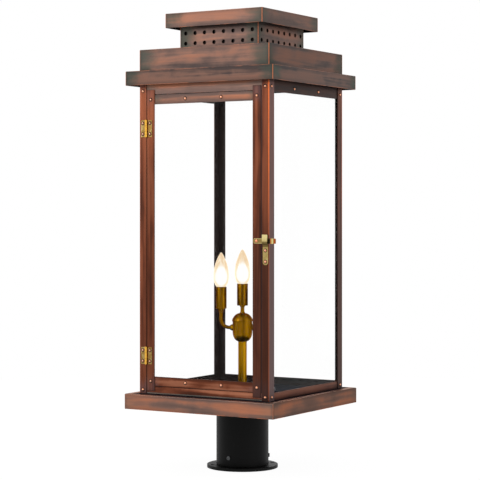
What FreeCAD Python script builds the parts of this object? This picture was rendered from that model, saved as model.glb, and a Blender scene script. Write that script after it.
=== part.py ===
"""Post top lantern: a riveted copper box lantern on a round pier mount.

Row frame: millimetres, +Z up, origin at the centre of the pier plate's underside.
The door is on the front, which faces -Y, and its hinges are on the left, at -X.
"""

import FreeCAD, Part
import math
import os

import Sketcher
from FreeCAD import Placement, Rotation, Vector

# Each size that can be set by itself: its name, its value in millimetres or degrees, what it measures.
SIZES = (
    ("sheet", 1.2, "thickness of the copper sheet"),
    ("bend", 0.9, "outside radius of a fold in the sheet"),
    ("plate_rim", 21.2, "pier plate beyond the stub"),
    ("plate_thickness", 6.4, "pier plate"),
    ("wire_hole", 44.0, "hole for the supply wires in the pier plate"),
    ("anchor_reach", 11.7, "anchor holes beyond the stub"),
    ("anchor_hole", 8.5, "diameter of an anchor hole"),
    ("stub_diameter", 101.6, "stub that the fitter slips over"),
    ("stub_wall", 3.2, "wall of the stub"),
    ("stub_height", 70.0, "height of the stub over the plate"),
    ("fitter_gap", 0.4, "gap between the stub and the fitter sleeve"),
    ("fitter_wall", 1.8, "wall of the fitter sleeve"),
    ("fitter_show", 118.0, "sleeve that shows between plate and base tray"),
    ("screw_rise", 17.5, "set screws over the pier plate"),
    ("screw_diameter", 6.0, "shank of a set screw"),
    ("screw_head", 7.4, "head of a set screw"),
    ("screw_head_rise", 2.2, "height of a set screw's head"),
    ("hex_socket", 3.4, "set screw's socket across its corners"),
    ("flange_rim", 22.0, "flange beyond the fitter sleeve"),
    ("flange_thickness", 3.0, "flange on top of the fitter sleeve"),
    ("bolt_reach", 11.0, "fitter bolts beyond the sleeve"),
    ("bolt_diameter", 6.0, "fitter bolt"),
    ("bolt_head", 11.0, "head and nut of a fitter bolt"),
    ("bolt_head_rise", 3.6, "height of a fitter bolt's head"),
    ("base_height", 30.6, "base tray"),
    ("base_overhang", 21.5, "base tray beyond the posts"),
    ("body_width", 300.0, "glazed body over its posts"),
    ("body_height", 615.5, "body that shows between the trays"),
    ("front_flange", 16.5, "post flange on the front and the rear"),
    ("side_flange", 20.0, "post flange on the left and the right"),
    ("top_rail_show", 20.7, "fixed top rail below the eave"),
    ("rear_rail_lift", 4.5, "rear top rail over the eave tray's lower edge"),
    ("bottom_rail_show", 15.3, "fixed bottom rail over the floor"),
    ("rail_leg", 13.0, "inward leg of a top rail"),
    ("trough_lip", 8.0, "upstand that holds the foot of a pane"),
    ("glass", 3.0, "thickness of the glass"),
    ("glass_lap", 6.5, "glass behind the edge of its opening"),
    ("pane_side_gap", 12.0, "from the body's corner to a fixed pane's edge"),
    ("clip_width", 12.0, "glazing clip"),
    ("clip_sheet", 1.0, "thickness of a glazing clip"),
    ("clip_reach", 6.0, "clip beyond the edge of its pane"),
    ("side_clip_spread", 49.0, "fixed pane's clips from the middle of its side"),
    ("eave_height", 28.5, "eave tray"),
    ("eave_overhang", 20.3, "eave tray beyond the posts"),
    ("eave_ledge", 32.0, "eave tray's top inside the roof box"),
    ("roof_height", 43.6, "roof box"),
    ("collar_width", 182.9, "perforated collar"),
    ("collar_show", 45.2, "collar that shows below the cap"),
    ("collar_ledge", 10.0, "roof box's top inside the collar"),
    ("vent_diameter", 8.2, "hole in the collar"),
    ("vent_pitch", 22.3, "from hole to hole along a row"),
    ("vent_first_row", 13.9, "lower row over the roof box"),
    ("vent_row_gap", 20.3, "from the lower row to the upper one"),
    ("baffle_gap", 5.2, "gap between the collar and the baffle inside it"),
    ("baffle_height", 60.0, "baffle behind the vent holes"),
    ("cap_height", 28.9, "top cap"),
    ("cap_overhang", 21.35, "top cap beyond the collar"),
    ("door_rise", 35.0, "door opening over the floor"),
    ("door_drop", 38.0, "door opening below the eave"),
    ("door_rail", 19.0, "height of a door rail"),
    ("door_stile", 18.5, "width of a door stile"),
    ("stile_horn", 10.0, "stile beyond the door rails"),
    ("stile_lap", 15.0, "door rail behind a stile"),
    ("door_rail_gap", 1.0, "gap between a door rail and the header or sill"),
    ("hinge_gap", 0.5, "post and stile each side of the hinge axis"),
    ("latch_gap", 1.5, "gap between the door and the right-hand post"),
    ("stop_lap", 2.0, "door stop behind the stile's edge"),
    ("stop_inset", 4.0, "door stop from the body's corner"),
    ("stop_gap", 0.3, "gap between the closed door and its stops"),
    ("door_clip_spread", 41.6, "door clips from the middle of the door"),
    ("rivet_head", 5.8, "domed rivet head"),
    ("rivet_rise", 1.9, "height of a rivet head"),
    ("post_rivet_drop", 10.8, "post rivets below the eave"),
    ("post_rivet_rise", 7.4, "post rivets over the floor"),
    ("hinge_height", 34.0, "butt hinge"),
    ("hinge_reach", 13.0, "hinge leaf from the pin's axis"),
    ("hinge_leaf", 1.0, "thickness of a hinge leaf"),
    ("knuckle_diameter", 5.0, "hinge barrel"),
    ("knuckle_gap", 0.3, "gap between the barrel and what it turns past"),
    ("pin_diameter", 2.4, "hinge pin"),
    ("pin_gap", 0.05, "radial gap of a running pin"),
    ("pin_head", 4.0, "domed head of a hinge pin"),
    ("upper_hinge_drop", 77.0, "upper hinge below the stile's top end"),
    ("lower_hinge_rise", 70.0, "lower hinge over the stile's bottom end"),
    ("hinge_rivet_inset", 6.2, "hinge rivets from the hinge's ends"),
    ("hinge_rivet_reach", 8.4, "hinge rivets from the pin's axis"),
    ("latch_rise", 307.4, "latch bar's middle over the floor"),
    ("latch_width", 10.0, "latch bar"),
    ("latch_sheet", 1.3, "thickness of the latch bar"),
    ("latch_inset", 8.7, "latch pivot from the stile's free edge"),
    ("latch_tail", 7.9, "latch bar left of its pivot"),
    ("latch_straight", 25.3, "pivot to the bend of the finger tab"),
    ("finger_bend", 6.0, "radius of the finger tab's first bend"),
    ("finger_curl", 13.0, "radius of the finger tab's curl"),
    ("finger_angle", 45.0, "degrees that the finger tab bends outward"),
    ("finger_return", 30.0, "degrees that the tip of the tab turns back"),
    ("latch_washer", 1.0, "washer between the stile and the bar"),
    ("latch_shank", 3.2, "shank of the pivot rivet"),
    ("keeper_width", 11.6, "latch keeper"),
    ("keeper_sheet", 1.2, "thickness of the keeper"),
    ("keeper_slot", 3.6, "slot between the post and the keeper's lip"),
    ("keeper_plate", 39.5, "riveted plate below the keeper's shelf"),
    ("keeper_lip", 17.5, "keeper's lip over its shelf"),
    ("keeper_bend", 1.8, "outside radius of the keeper's bends"),
    ("keeper_seat_gap", 0.3, "gap between the bar and the keeper's shelf"),
    ("keeper_inset", 7.3, "keeper's middle from the body's corner"),
    ("cluster_turn", 31.0, "degrees that the light cluster is turned"),
    ("stem_diameter", 17.3, "cluster stem"),
    ("tube_wall", 1.2, "wall of the brass tubes and cups"),
    ("stem_tail", 9.0, "stem below the floor sheet"),
    ("washer_diameter", 44.0, "seating washer on the floor"),
    ("washer_thickness", 1.6, "seating washer"),
    ("locknut_width", 27.0, "locknut across its flats"),
    ("locknut_height", 5.0, "locknut"),
    ("body_rise", 99.6, "cluster body over the floor"),
    ("cluster_body_diameter", 40.0, "cluster body"),
    ("cluster_body_height", 41.0, "cluster body up to its seam"),
    ("cluster_bowl", 19.0, "height of the body's tapered bottom"),
    ("cluster_cap_diameter", 42.4, "cap of the cluster body"),
    ("cluster_cap_height", 16.8, "cap of the cluster body"),
    ("cluster_cap_skirt", 3.4, "straight rim of the cap"),
    ("neck_height", 15.6, "neck between cap and centre sleeve"),
    ("neck_end", 5.4, "radius of the neck's ends"),
    ("neck_waist", 4.0, "radius of the neck's waist"),
    ("arm_drop", 12.6, "arms below the body's seam"),
    ("arm_reach", 43.3, "arm's upright part from the stem's axis"),
    ("arm_diameter", 7.2, "arm tube"),
    ("arm_bend", 17.0, "radius of the arm's bend"),
    ("arm_rise", 38.7, "side sleeve's foot over the arm's level part"),
    ("boss_diameter", 11.4, "root of the boss that an arm is screwed into"),
    ("boss_length", 5.0, "boss beyond the cluster body"),
    ("boss_wall", 1.0, "wall of the boss at its mouth"),
    ("arm_engagement", 10.0, "arm inside the boss and the body"),
    ("sleeve_diameter", 22.0, "candle sleeve"),
    ("sleeve_height", 44.3, "candle sleeve"),
    ("sleeve_wall", 1.0, "wall of a candle sleeve"),
    ("sleeve_recess", 8.0, "depth of the sleeve's mouth down to the lampholder"),
    ("bulb_diameter", 31.8, "torpedo bulb"),
    ("bulb_neck", 15.8, "torpedo bulb at its base"),
    ("bulb_show", 70.0, "bulb over its sleeve"),
    ("bulb_belly", 27.0, "bulb's widest place over its sleeve"),
)

# Small round features and curved turnings are faceted, so that the many of them stay light.
SMALL_SIDES = 10
RIVET_SIDES = 8
TURNED_SIDES = 20

FRONT_ANGLE = 0
RIGHT_ANGLE = 90
REAR_ANGLE = 180
LEFT_ANGLE = 270
FIXED_SIDES = (("right", RIGHT_ANGLE), ("rear", REAR_ANGLE), ("left", LEFT_ANGLE))

doc = FreeCAD.newDocument("post_top_lantern")
sheet = doc.addObject("Spreadsheet::Sheet", "sizes")
nodes = []


class Size:
    """A length that stays an expression over the spreadsheet's cells."""

    def __init__(self, text):
        self.text = text

    @staticmethod
    def text_of(value):
        return value.text if isinstance(value, Size) else repr(float(value))

    def join(self, sign, other, swapped=False):
        one, two = Size.text_of(self), Size.text_of(other)
        return Size(f"({two} {sign} {one})" if swapped else f"({one} {sign} {two})")

    def __add__(self, other):
        return self.join("+", other)

    def __radd__(self, other):
        return self.join("+", other, swapped=True)

    def __sub__(self, other):
        return self.join("-", other)

    def __rsub__(self, other):
        return self.join("-", other, swapped=True)

    def __mul__(self, other):
        return self.join("*", other)

    def __rmul__(self, other):
        return self.join("*", other, swapped=True)

    def __truediv__(self, other):
        return self.join("/", other)

    def __neg__(self):
        return Size(f"(-1 * {self.text})")

    def __float__(self):
        return float(sheet.evalExpression(self.text))

    def cos(self):
        return Size(f"cos({self.text})")

    def sin(self):
        return Size(f"sin({self.text})")


def fill_sheet():
    """Writes every driving size into the sheet under its own name."""
    for row, (name, value, meaning) in enumerate(SIZES, start=1):
        sheet.set(f"A{row}", name)
        sheet.set(f"B{row}", str(value))
        sheet.set(f"C{row}", meaning)
        sheet.setAlias(f"B{row}", name)
    doc.recompute()


fill_sheet()
s = {name: Size(f"sizes.{name}") for name, _, _ in SIZES}

# Heights over the pier plate's underside, from the bottom up.
PLATE_TOP = s["plate_thickness"]
STUB_TOP = PLATE_TOP + s["stub_height"]
BASE_LOW = PLATE_TOP + s["fitter_show"]
FLOOR = BASE_LOW + s["base_height"]
FLOOR_UNDER = FLOOR - s["sheet"]
EAVE_LOW = FLOOR + s["body_height"]
EAVE_TOP = EAVE_LOW + s["eave_height"]
EAVE_UNDER = EAVE_TOP - s["sheet"]
ROOF_TOP = EAVE_TOP + s["roof_height"]
CAP_LOW = ROOF_TOP + s["collar_show"]
CAP_TOP = CAP_LOW + s["cap_height"]

# Distances from the lantern's axis to its flat sides. Sheet lies on sheet from the outside in.
HALF = s["body_width"] / 2
POST_INSIDE = HALF - s["sheet"]
RAIL_INSIDE = POST_INSIDE - s["sheet"]
GLASS_INSIDE = RAIL_INSIDE - s["glass"]
FRONT = -HALF

# The door's outline. Its hinge pins stand proud of the front, so that it folds right back.
HINGE_X = -(HALF - s["front_flange"] - s["hinge_gap"])
HINGE_Y = FRONT - s["knuckle_gap"] - s["knuckle_diameter"] / 2
DOOR_LEFT = HINGE_X + s["hinge_gap"]
DOOR_RIGHT = HALF - s["front_flange"] - s["latch_gap"]
DOOR_MIDDLE = (DOOR_LEFT + DOOR_RIGHT) / 2
OPENING_LOW = FLOOR + s["door_rise"]
OPENING_TOP = EAVE_LOW - s["door_drop"]
DOOR_LOW = OPENING_LOW - s["door_rail"]
DOOR_TOP = OPENING_TOP + s["door_rail"]
STILE_LOW = DOOR_LOW - s["stile_horn"]
STILE_TOP = DOOR_TOP + s["stile_horn"]
DOOR_RIVETS_LOW = OPENING_LOW - s["door_rail"] / 2
DOOR_RIVETS_TOP = OPENING_TOP + s["door_rail"] / 2
HINGE_MIDDLES = (STILE_TOP - s["upper_hinge_drop"], STILE_LOW + s["lower_hinge_rise"])

# The latch bar's pivot and the keeper's place on the right-hand post.
LATCH_X = DOOR_RIGHT - s["latch_inset"]
LATCH_Z = FLOOR + s["latch_rise"]
BAR_BACK = FRONT - s["latch_washer"]
BAR_FRONT = BAR_BACK - s["latch_sheet"]
KEEPER_X = HALF - s["keeper_inset"]
SHELF_TOP = LATCH_Z - s["latch_width"] / 2 - s["keeper_seat_gap"]
SHELF_LOW = SHELF_TOP - s["keeper_sheet"]

# The light cluster, built on the axis and turned about it.
BODY_LOW = FLOOR + s["body_rise"]
SEAM = BODY_LOW + s["cluster_body_height"]
CLUSTER_CAP_LOW = SEAM
CLUSTER_CAP_TOP = CLUSTER_CAP_LOW + s["cluster_cap_height"]
CENTRE_SLEEVE_LOW = CLUSTER_CAP_TOP + s["neck_height"]
ARM_Z = SEAM - s["arm_drop"]
SIDE_SLEEVE_LOW = ARM_Z + s["arm_rise"]
STEM_LOW = FLOOR_UNDER - s["stem_tail"]


def vector(*sizes):
    return Vector(*(float(size) for size in sizes))


# --- sketches and features -------------------------------------------------------------------


def new_body(label):
    body = doc.addObject("PartDesign::Body", label)
    body.Label = label
    return body


def node(thing):
    """Lists a finished object as one of the lantern's nodes."""
    nodes.append(thing)
    return thing


def origin_part(body, role):
    return next(f for f in body.Origin.OriginFeatures if f.Role == role)


def sketch_on(body, plane="XY_Plane", offset=0.0):
    """A sketch on one of the body's own origin planes, lifted along the plane's normal."""
    sketch = body.newObject("Sketcher::SketchObject", f"{body.Label}_sketch")
    sketch.AttachmentSupport = [(origin_part(body, plane), "")]
    sketch.MapMode = "FlatFace"
    sketch.setExpression("AttachmentOffset.Base.z", Size.text_of(offset))
    return sketch


def drive(sketch, kind, index, position, size):
    """Adds one dimension from the sketch's origin and binds it to its expression."""
    number = sketch.addConstraint(Sketcher.Constraint(kind, index, position, float(size)))
    sketch.setExpression(f"Constraints[{number}]", Size.text_of(size))


def arc_between(first, last, radius, left_turn):
    """The arc of less than half a turn between two points, as (arc, runs_forward)."""
    chord = last - first
    across = Vector(-chord.y, chord.x, 0).normalize()
    height = math.sqrt(max(radius**2 - chord.Length**2 / 4, 0.0))
    centre = (first + last) / 2 + across * (height if left_turn else -height)
    ends = (first, last) if left_turn else (last, first)
    angles = [math.atan2(end.y - centre.y, end.x - centre.x) for end in ends]
    circle = Part.Circle(centre, Vector(0, 0, 1), radius)
    return Part.ArcOfCircle(circle, angles[0], angles[1]), left_turn


def draw(sketch, points, closed=True):
    """Draws a chain through the points. A point is (x, y) at the end of a line, or
    (x, y, radius, left_turn) at the end of an arc. Every corner has two driven distances."""
    corners = [vector(point[0], point[1], 0) for point in points]
    ends = []
    for number in range(len(points) if closed else len(points) - 1):
        target = (number + 1) % len(points)
        first, last = corners[number], corners[target]
        if len(points[target]) == 2:
            index = sketch.addGeometry(Part.LineSegment(first, last), False)
            ends.append((index, 1, 2))
            continue
        radius, left_turn = points[target][2:]
        arc, forward = arc_between(first, last, float(radius), left_turn)
        index = sketch.addGeometry(arc, False)
        ends.append((index, 1, 2) if forward else (index, 2, 1))
        number_of = sketch.addConstraint(Sketcher.Constraint("Radius", index, float(radius)))
        sketch.setExpression(f"Constraints[{number_of}]", Size.text_of(radius))
    joints = zip(ends, ends[1:] + ends[:1]) if closed else zip(ends, ends[1:])
    for (one, _, end), (other, start, _) in joints:
        sketch.addConstraint(Sketcher.Constraint("Coincident", one, end, other, start))
    for (index, start, _), point in zip(ends, points):
        drive(sketch, "DistanceX", index, start, point[0])
        drive(sketch, "DistanceY", index, start, point[1])
    if not closed:
        index, _, end = ends[-1]
        drive(sketch, "DistanceX", index, end, points[-1][0])
        drive(sketch, "DistanceY", index, end, points[-1][1])


def draw_rectangle(sketch, left, right, low, high):
    draw(sketch, [(left, low), (right, low), (right, high), (left, high)])


def draw_circle(sketch, diameter, x=0.0, y=0.0):
    centre = vector(x, y, 0)
    circle = Part.Circle(centre, Vector(0, 0, 1), float(diameter) / 2)
    index = sketch.addGeometry(circle, False)
    number = sketch.addConstraint(Sketcher.Constraint("Diameter", index, float(diameter)))
    sketch.setExpression(f"Constraints[{number}]", Size.text_of(diameter))
    drive(sketch, "DistanceX", index, 3, x)
    drive(sketch, "DistanceY", index, 3, y)


def draw_small_round(sketch, diameter, x=0.0, y=0.0):
    """A small hole or shank, drawn with a few straight sides."""
    turns = [360 * number / SMALL_SIDES for number in range(SMALL_SIDES)]
    radius = diameter / 2
    draw(sketch, [(x + radius * Size(f"cos({a})"), y + radius * Size(f"sin({a})")) for a in turns])


def extrude(body, sketch, length, kind="PartDesign::Pad", reverse=False, symmetric=False):
    feature = body.newObject(kind, f"{body.Label}_{kind.split('::')[1].lower()}")
    feature.Profile = sketch
    feature.setExpression("Length", Size.text_of(length))
    feature.Reversed = reverse
    feature.SideType = "Symmetric" if symmetric else "One side"
    sketch.Visibility = False
    return feature


def cut(body, sketch, length, reverse=False, symmetric=False):
    """A pocket that must take material away."""
    doc.recompute()
    before = body.Shape.Volume
    feature = extrude(body, sketch, length, "PartDesign::Pocket", reverse, symmetric)
    doc.recompute()
    if not body.Shape.Volume < before:
        raise RuntimeError(f"{feature.Name} cuts nothing out of {body.Label}")
    return feature


def spin(body, points):
    """Revolves a closed (radius, height) profile about the body's Z axis."""
    sketch = sketch_on(body, "XZ_Plane")
    draw(sketch, points)
    feature = body.newObject("PartDesign::Revolution", f"{body.Label}_revolution")
    feature.Profile = sketch
    feature.ReferenceAxis = (sketch, ["V_Axis"])
    feature.Angle = 360
    return feature


def around(body, features, count):
    """Repeats features evenly about the body's Z axis."""
    pattern = body.newObject("PartDesign::PolarPattern", f"{body.Label}_pattern")
    pattern.Originals = list(features)
    pattern.Axis = (origin_part(body, "Z_Axis"), [""])
    pattern.Angle = 360
    pattern.Occurrences = count
    body.Tip = pattern
    return pattern


def round_edges(body, radius, chosen):
    """Fillets the edges of the body's present shape that the chosen test picks."""
    doc.recompute()
    picked = [f"Edge{n}" for n, edge in enumerate(body.Shape.Edges, start=1) if chosen(edge)]
    base = body.Tip
    feature = body.newObject("PartDesign::Fillet", f"{body.Label}_fillet")
    feature.Base = (base, picked)
    feature.setExpression("Radius", Size.text_of(radius))
    body.Tip = feature
    return feature


def block(label, x_range, y_range, z_range):
    """A plain sheet or bar between two planes on each axis."""
    body = new_body(label)
    sketch = sketch_on(body, offset=z_range[0])
    draw_rectangle(sketch, x_range[0], x_range[1], y_range[0], y_range[1])
    extrude(body, sketch, z_range[1] - z_range[0])
    return body


def tube(label, diameter, wall, low, high):
    outside = diameter / 2
    body = new_body(label)
    spin(body, [(outside - wall, low), (outside, low), (outside, high), (outside - wall, high)])
    return body


def turn(thing, angle):
    """Turns an object that was built for the front onto another side."""
    thing.Placement = Placement(Vector(), Rotation(Vector(0, 0, 1), angle))
    return thing


def group(label, shapes):
    """Several separate solids that share one node. A body holds a single solid."""
    feature = doc.addObject("Part::Feature", label)
    feature.Label = label
    feature.Shape = Part.makeCompound(shapes)
    return feature


def copy_at(shape, placement):
    copied = shape.copy()
    copied.Placement = placement.multiply(copied.Placement)
    return copied


# --- pier mount ------------------------------------------------------------------------------


def make_pier_plate():
    body = new_body("pier_plate")
    sketch = sketch_on(body)
    draw_circle(sketch, s["stub_diameter"] + 2 * s["plate_rim"])
    draw_circle(sketch, s["wire_hole"])
    extrude(body, sketch, s["plate_thickness"])
    hole = sketch_on(body)
    across = (s["stub_diameter"] / 2 + s["anchor_reach"]) * Size("cos(45)")
    draw_circle(hole, s["anchor_hole"], x=across, y=across)
    around(body, [cut(body, hole, s["plate_thickness"], reverse=True)], 4)
    return node(body)


def make_pier_stub():
    return node(tube("pier_stub", s["stub_diameter"], s["stub_wall"], PLATE_TOP, STUB_TOP))


# --- fitter ----------------------------------------------------------------------------------

FITTER_INSIDE = s["stub_diameter"] / 2 + s["fitter_gap"]
FITTER_OUTSIDE = FITTER_INSIDE + s["fitter_wall"]
FLANGE_LOW = FLOOR_UNDER - s["flange_thickness"]
BOLT_RADIUS = FITTER_OUTSIDE + s["bolt_reach"]
SCREW_Z = PLATE_TOP + s["screw_rise"]
BOLT_ANGLES = (0, 90, 180, 270)
SCREW_ANGLES = (0, 120, 240)


def make_fitter():
    """The sleeve that slips over the stub, with the flange that carries the base tray."""
    flange_edge = FITTER_OUTSIDE + s["flange_rim"]
    body = new_body("fitter")
    spin(
        body,
        [
            (FITTER_INSIDE, PLATE_TOP),
            (FITTER_OUTSIDE, PLATE_TOP),
            (FITTER_OUTSIDE, FLANGE_LOW),
            (flange_edge, FLANGE_LOW),
            (flange_edge, FLOOR_UNDER),
            (FITTER_INSIDE, FLOOR_UNDER),
        ],
    )
    around(body, [cut_bolt_hole(body, FLANGE_LOW, s["flange_thickness"])], len(BOLT_ANGLES))
    hole = sketch_on(body, "XZ_Plane")
    draw_small_round(hole, s["screw_diameter"] + 2 * s["pin_gap"], y=SCREW_Z)
    around(body, [cut(body, hole, flange_edge, reverse=True)], len(SCREW_ANGLES))
    return node(body)


def cut_bolt_hole(body, low, depth):
    """One clearance hole for a fitter bolt, on the diagonal."""
    hole = sketch_on(body, offset=low)
    across = BOLT_RADIUS * Size("cos(45)")
    draw_small_round(hole, s["bolt_diameter"] + 2 * s["pin_gap"], x=across, y=across)
    return cut(body, hole, depth, reverse=True)


def corners_of(sides, radius, height=0.0):
    """The corners of a regular polygon about the Z axis, the first one on X."""
    turns = [math.radians(360 * number / sides) for number in range(sides)]
    return [Vector(radius * math.cos(a), radius * math.sin(a), height) for a in turns]


def flat_face(corners):
    return Part.Face(Part.makePolygon(corners + corners[:1]))


def prism(sides, radius, low, high):
    return flat_face(corners_of(sides, radius, low)).extrude(Vector(0, 0, high - low))


def stack(sides, levels):
    """A faceted turning through regular polygons, given as (radius, height) upward."""
    rings = [corners_of(sides, radius, height) for radius, height in levels]
    faces = [flat_face(rings[0]), flat_face(rings[-1])]
    for below, above in zip(rings, rings[1:]):
        for one in range(sides):
            two = (one + 1) % sides
            faces.append(flat_face([below[one], below[two], above[two], above[one]]))
    return Part.Solid(Part.Shell(faces))


def turned_copies(shape, angles):
    turns = [Placement(Vector(), Rotation(Vector(0, 0, 1), angle)) for angle in angles]
    return [copy_at(shape, turned) for turned in turns]


def make_set_screws():
    """Button-headed set screws, one facing the front and the others 120 degrees apart."""
    tip = float(s["stub_diameter"]) / 2 + 0.75 * float(s["fitter_gap"])
    face = float(FITTER_OUTSIDE) - tip + 0.3
    rise, radius = float(s["screw_head_rise"]), float(s["screw_head"]) / 2
    shank = prism(SMALL_SIDES, float(s["screw_diameter"]) / 2, 0, face)
    head = stack(SMALL_SIDES, [(radius, face), (radius, face + rise / 2), (radius * 0.7, face + rise)])
    socket = prism(6, float(s["hex_socket"]) / 2, face + rise * 0.3, face + rise)
    screw = shank.fuse(head).cut(socket).removeSplitter()
    outward = Placement(vector(0, -tip, SCREW_Z), Rotation(Vector(1, 0, 0), 90))
    return node(group("set_screws", turned_copies(copy_at(screw, outward), SCREW_ANGLES)))


def make_fitter_bolts():
    """Hexagon bolts with their nuts. The heads bear on the floor, the nuts on the flange."""
    rise = float(s["bolt_head_rise"])
    width = float(s["bolt_head"]) / 2
    floor, under = float(FLOOR), float(FLANGE_LOW)
    across = float(BOLT_RADIUS * Size("cos(45)"))
    head = prism(6, width, floor, floor + rise)
    nut = prism(6, width, under - rise, under)
    shank = prism(SMALL_SIDES, float(s["bolt_diameter"]) / 2, under - rise - 2.0, floor + rise / 2)
    bolt = head.fuse([nut, shank]).removeSplitter()
    first = copy_at(bolt, Placement(Vector(across, across, 0), Rotation()))
    return node(group("fitter_bolts", turned_copies(first, BOLT_ANGLES)))


# --- trays and roof --------------------------------------------------------------------------


def make_pan(label, width, low, high, hole_width):
    """A sheet pan, open downward: four sides folded down from the top, with soldered corners."""
    body = new_body(label)
    sketch = sketch_on(body, offset=low)
    draw_rectangle(sketch, -width / 2, width / 2, -width / 2, width / 2)
    extrude(body, sketch, high - low)
    round_edges(body, s["bend"], lambda edge: edge.BoundBox.ZMin > float(high) - 0.01)
    inside = width / 2 - s["sheet"]
    hollow = sketch_on(body, offset=low)
    draw_rectangle(hollow, -inside, inside, -inside, inside)
    cut(body, hollow, high - low - s["sheet"], reverse=True)
    if hole_width is not None:
        hole = sketch_on(body, offset=high)
        draw_rectangle(hole, -hole_width / 2, hole_width / 2, -hole_width / 2, hole_width / 2)
        cut(body, hole, s["sheet"] * 2)
    return body


def make_base_tray():
    """The base tray, whose top sheet is the floor, holed for the stem and the fitter bolts."""
    body = make_pan("base_tray", s["body_width"] + 2 * s["base_overhang"], BASE_LOW, FLOOR, None)
    stem_hole = sketch_on(body, offset=FLOOR)
    draw_circle(stem_hole, s["stem_diameter"] + 2 * s["pin_gap"])
    cut(body, stem_hole, s["sheet"] * 2)
    around(body, [cut_bolt_hole(body, FLOOR_UNDER, s["sheet"])], len(BOLT_ANGLES))
    return node(body)


def make_roof():
    eave_width = s["body_width"] + 2 * s["eave_overhang"]
    eave_hole = s["body_width"] - 2 * s["eave_ledge"]
    roof_hole = s["collar_width"] - 2 * s["collar_ledge"]
    cap_width = s["collar_width"] + 2 * s["cap_overhang"]
    node(make_pan("eave_tray", eave_width, EAVE_LOW, EAVE_TOP, eave_hole))
    node(make_pan("roof_box", s["body_width"], EAVE_TOP, ROOF_TOP, roof_hole))
    make_perforated_collar()
    make_vent_baffle()
    node(make_pan("top_cap", cap_width, CAP_LOW, CAP_TOP, None))


def make_vent_baffle():
    """A square sleeve behind the vent holes. Warm air leaves over its upper edge."""
    body = new_body("vent_baffle")
    half = s["collar_width"] / 2 - s["sheet"] - s["baffle_gap"]
    inside = half - s["sheet"]
    sketch = sketch_on(body, offset=ROOF_TOP)
    draw_rectangle(sketch, -half, half, -half, half)
    draw_rectangle(sketch, -inside, inside, -inside, inside)
    extrude(body, sketch, s["baffle_height"])
    return node(body)


def make_perforated_collar():
    """A square collar with two rows of eight round holes through each of its walls."""
    body = new_body("perforated_collar")
    half = s["collar_width"] / 2
    inside = half - s["sheet"]
    height = CAP_TOP - s["sheet"] - ROOF_TOP
    sketch = sketch_on(body, offset=ROOF_TOP)
    draw_rectangle(sketch, -half, half, -half, half)
    draw_rectangle(sketch, -inside, inside, -inside, inside)
    extrude(body, sketch, height)
    columns = 8
    first = -(columns - 1) / 2 * s["vent_pitch"]
    for plane in ("XZ_Plane", "YZ_Plane"):
        hole = sketch_on(body, plane)
        draw_small_round(hole, s["vent_diameter"], x=first, y=ROOF_TOP + s["vent_first_row"])
        through = cut(body, hole, s["collar_width"] + 2, symmetric=True)
        rows = body.newObject("PartDesign::LinearPattern", "vent_holes")
        rows.Originals = [through]
        rows.Direction = (hole, ["H_Axis"])
        rows.setExpression("Length", ((columns - 1) * s["vent_pitch"]).text)
        rows.Occurrences = columns
        rows.Direction2 = (hole, ["V_Axis"])
        rows.setExpression("Length2", s["vent_row_gap"].text)
        rows.Occurrences2 = 2
        body.Tip = rows
    return node(body)


# --- frame and glazing -----------------------------------------------------------------------


def make_posts():
    """Four folded corner posts from the floor to the eave's top sheet."""
    for end, y_sign in (("front", -1), ("rear", 1)):
        for side, x_sign in (("left", -1), ("right", 1)):
            corner_x, corner_y = HALF * x_sign, HALF * y_sign
            flange_x = (HALF - s["front_flange"]) * x_sign
            flange_y = (HALF - s["side_flange"]) * y_sign
            inner_x, inner_y = POST_INSIDE * x_sign, POST_INSIDE * y_sign
            body = new_body(f"post_{end}_{side}")
            sketch = sketch_on(body, offset=FLOOR)
            draw(
                sketch,
                [
                    (flange_x, corner_y),
                    (corner_x, corner_y),
                    (corner_x, flange_y),
                    (inner_x, flange_y),
                    (inner_x, inner_y),
                    (flange_x, inner_y),
                ],
            )
            extrude(body, sketch, EAVE_UNDER - FLOOR)
            at = (float(corner_x), float(corner_y))
            round_edges(body, s["bend"], lambda edge, at=at: is_upright_at(edge, *at))
            node(body)


def is_upright_at(edge, x, y):
    box = edge.BoundBox
    upright = box.XLength < 0.01 and box.YLength < 0.01
    return upright and abs(box.XMin - x) < 0.01 and abs(box.YMin - y) < 0.01


def add_mitred_strip(body, outer, inner, low, high):
    """Adds a level strip along the front between two depths, with 45 degree ends."""
    gap = s["knuckle_gap"]
    sketch = sketch_on(body, offset=low)
    points = [(gap - outer, -outer), (outer - gap, -outer), (inner - gap, -inner), (gap - inner, -inner)]
    draw(sketch, points)
    return extrude(body, sketch, high - low)


def make_top_rail(label, low, angle):
    """An angle under the eave: a face behind the posts and a leg turned inward."""
    body = new_body(label)
    add_mitred_strip(body, POST_INSIDE, RAIL_INSIDE, low, EAVE_UNDER)
    add_mitred_strip(body, POST_INSIDE, POST_INSIDE - s["rail_leg"], EAVE_UNDER - s["sheet"], EAVE_UNDER)
    return node(turn(body, angle))


def make_bottom_rail(label, top, angle):
    """A trough on the floor: a face behind the posts and a lower lip behind the pane."""
    lip_outside = GLASS_INSIDE - s["knuckle_gap"]
    lip_inside = lip_outside - s["sheet"]
    body = new_body(label)
    add_mitred_strip(body, POST_INSIDE, lip_inside, FLOOR, FLOOR + s["sheet"])
    add_mitred_strip(body, POST_INSIDE, RAIL_INSIDE, FLOOR, top)
    add_mitred_strip(body, lip_outside, lip_inside, FLOOR, FLOOR + s["trough_lip"])
    return node(turn(body, angle))


HEADER_LOW = DOOR_TOP + s["door_rail_gap"]
SILL_TOP = DOOR_LOW - s["door_rail_gap"]


def top_rail_low(side):
    """The rear rail stays behind the eave tray. Those on the left and the right show below it."""
    if side == "rear":
        return EAVE_LOW + s["rear_rail_lift"]
    return EAVE_LOW - s["top_rail_show"]


def pane_top(side):
    return top_rail_low(side) + s["glass_lap"]


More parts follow.
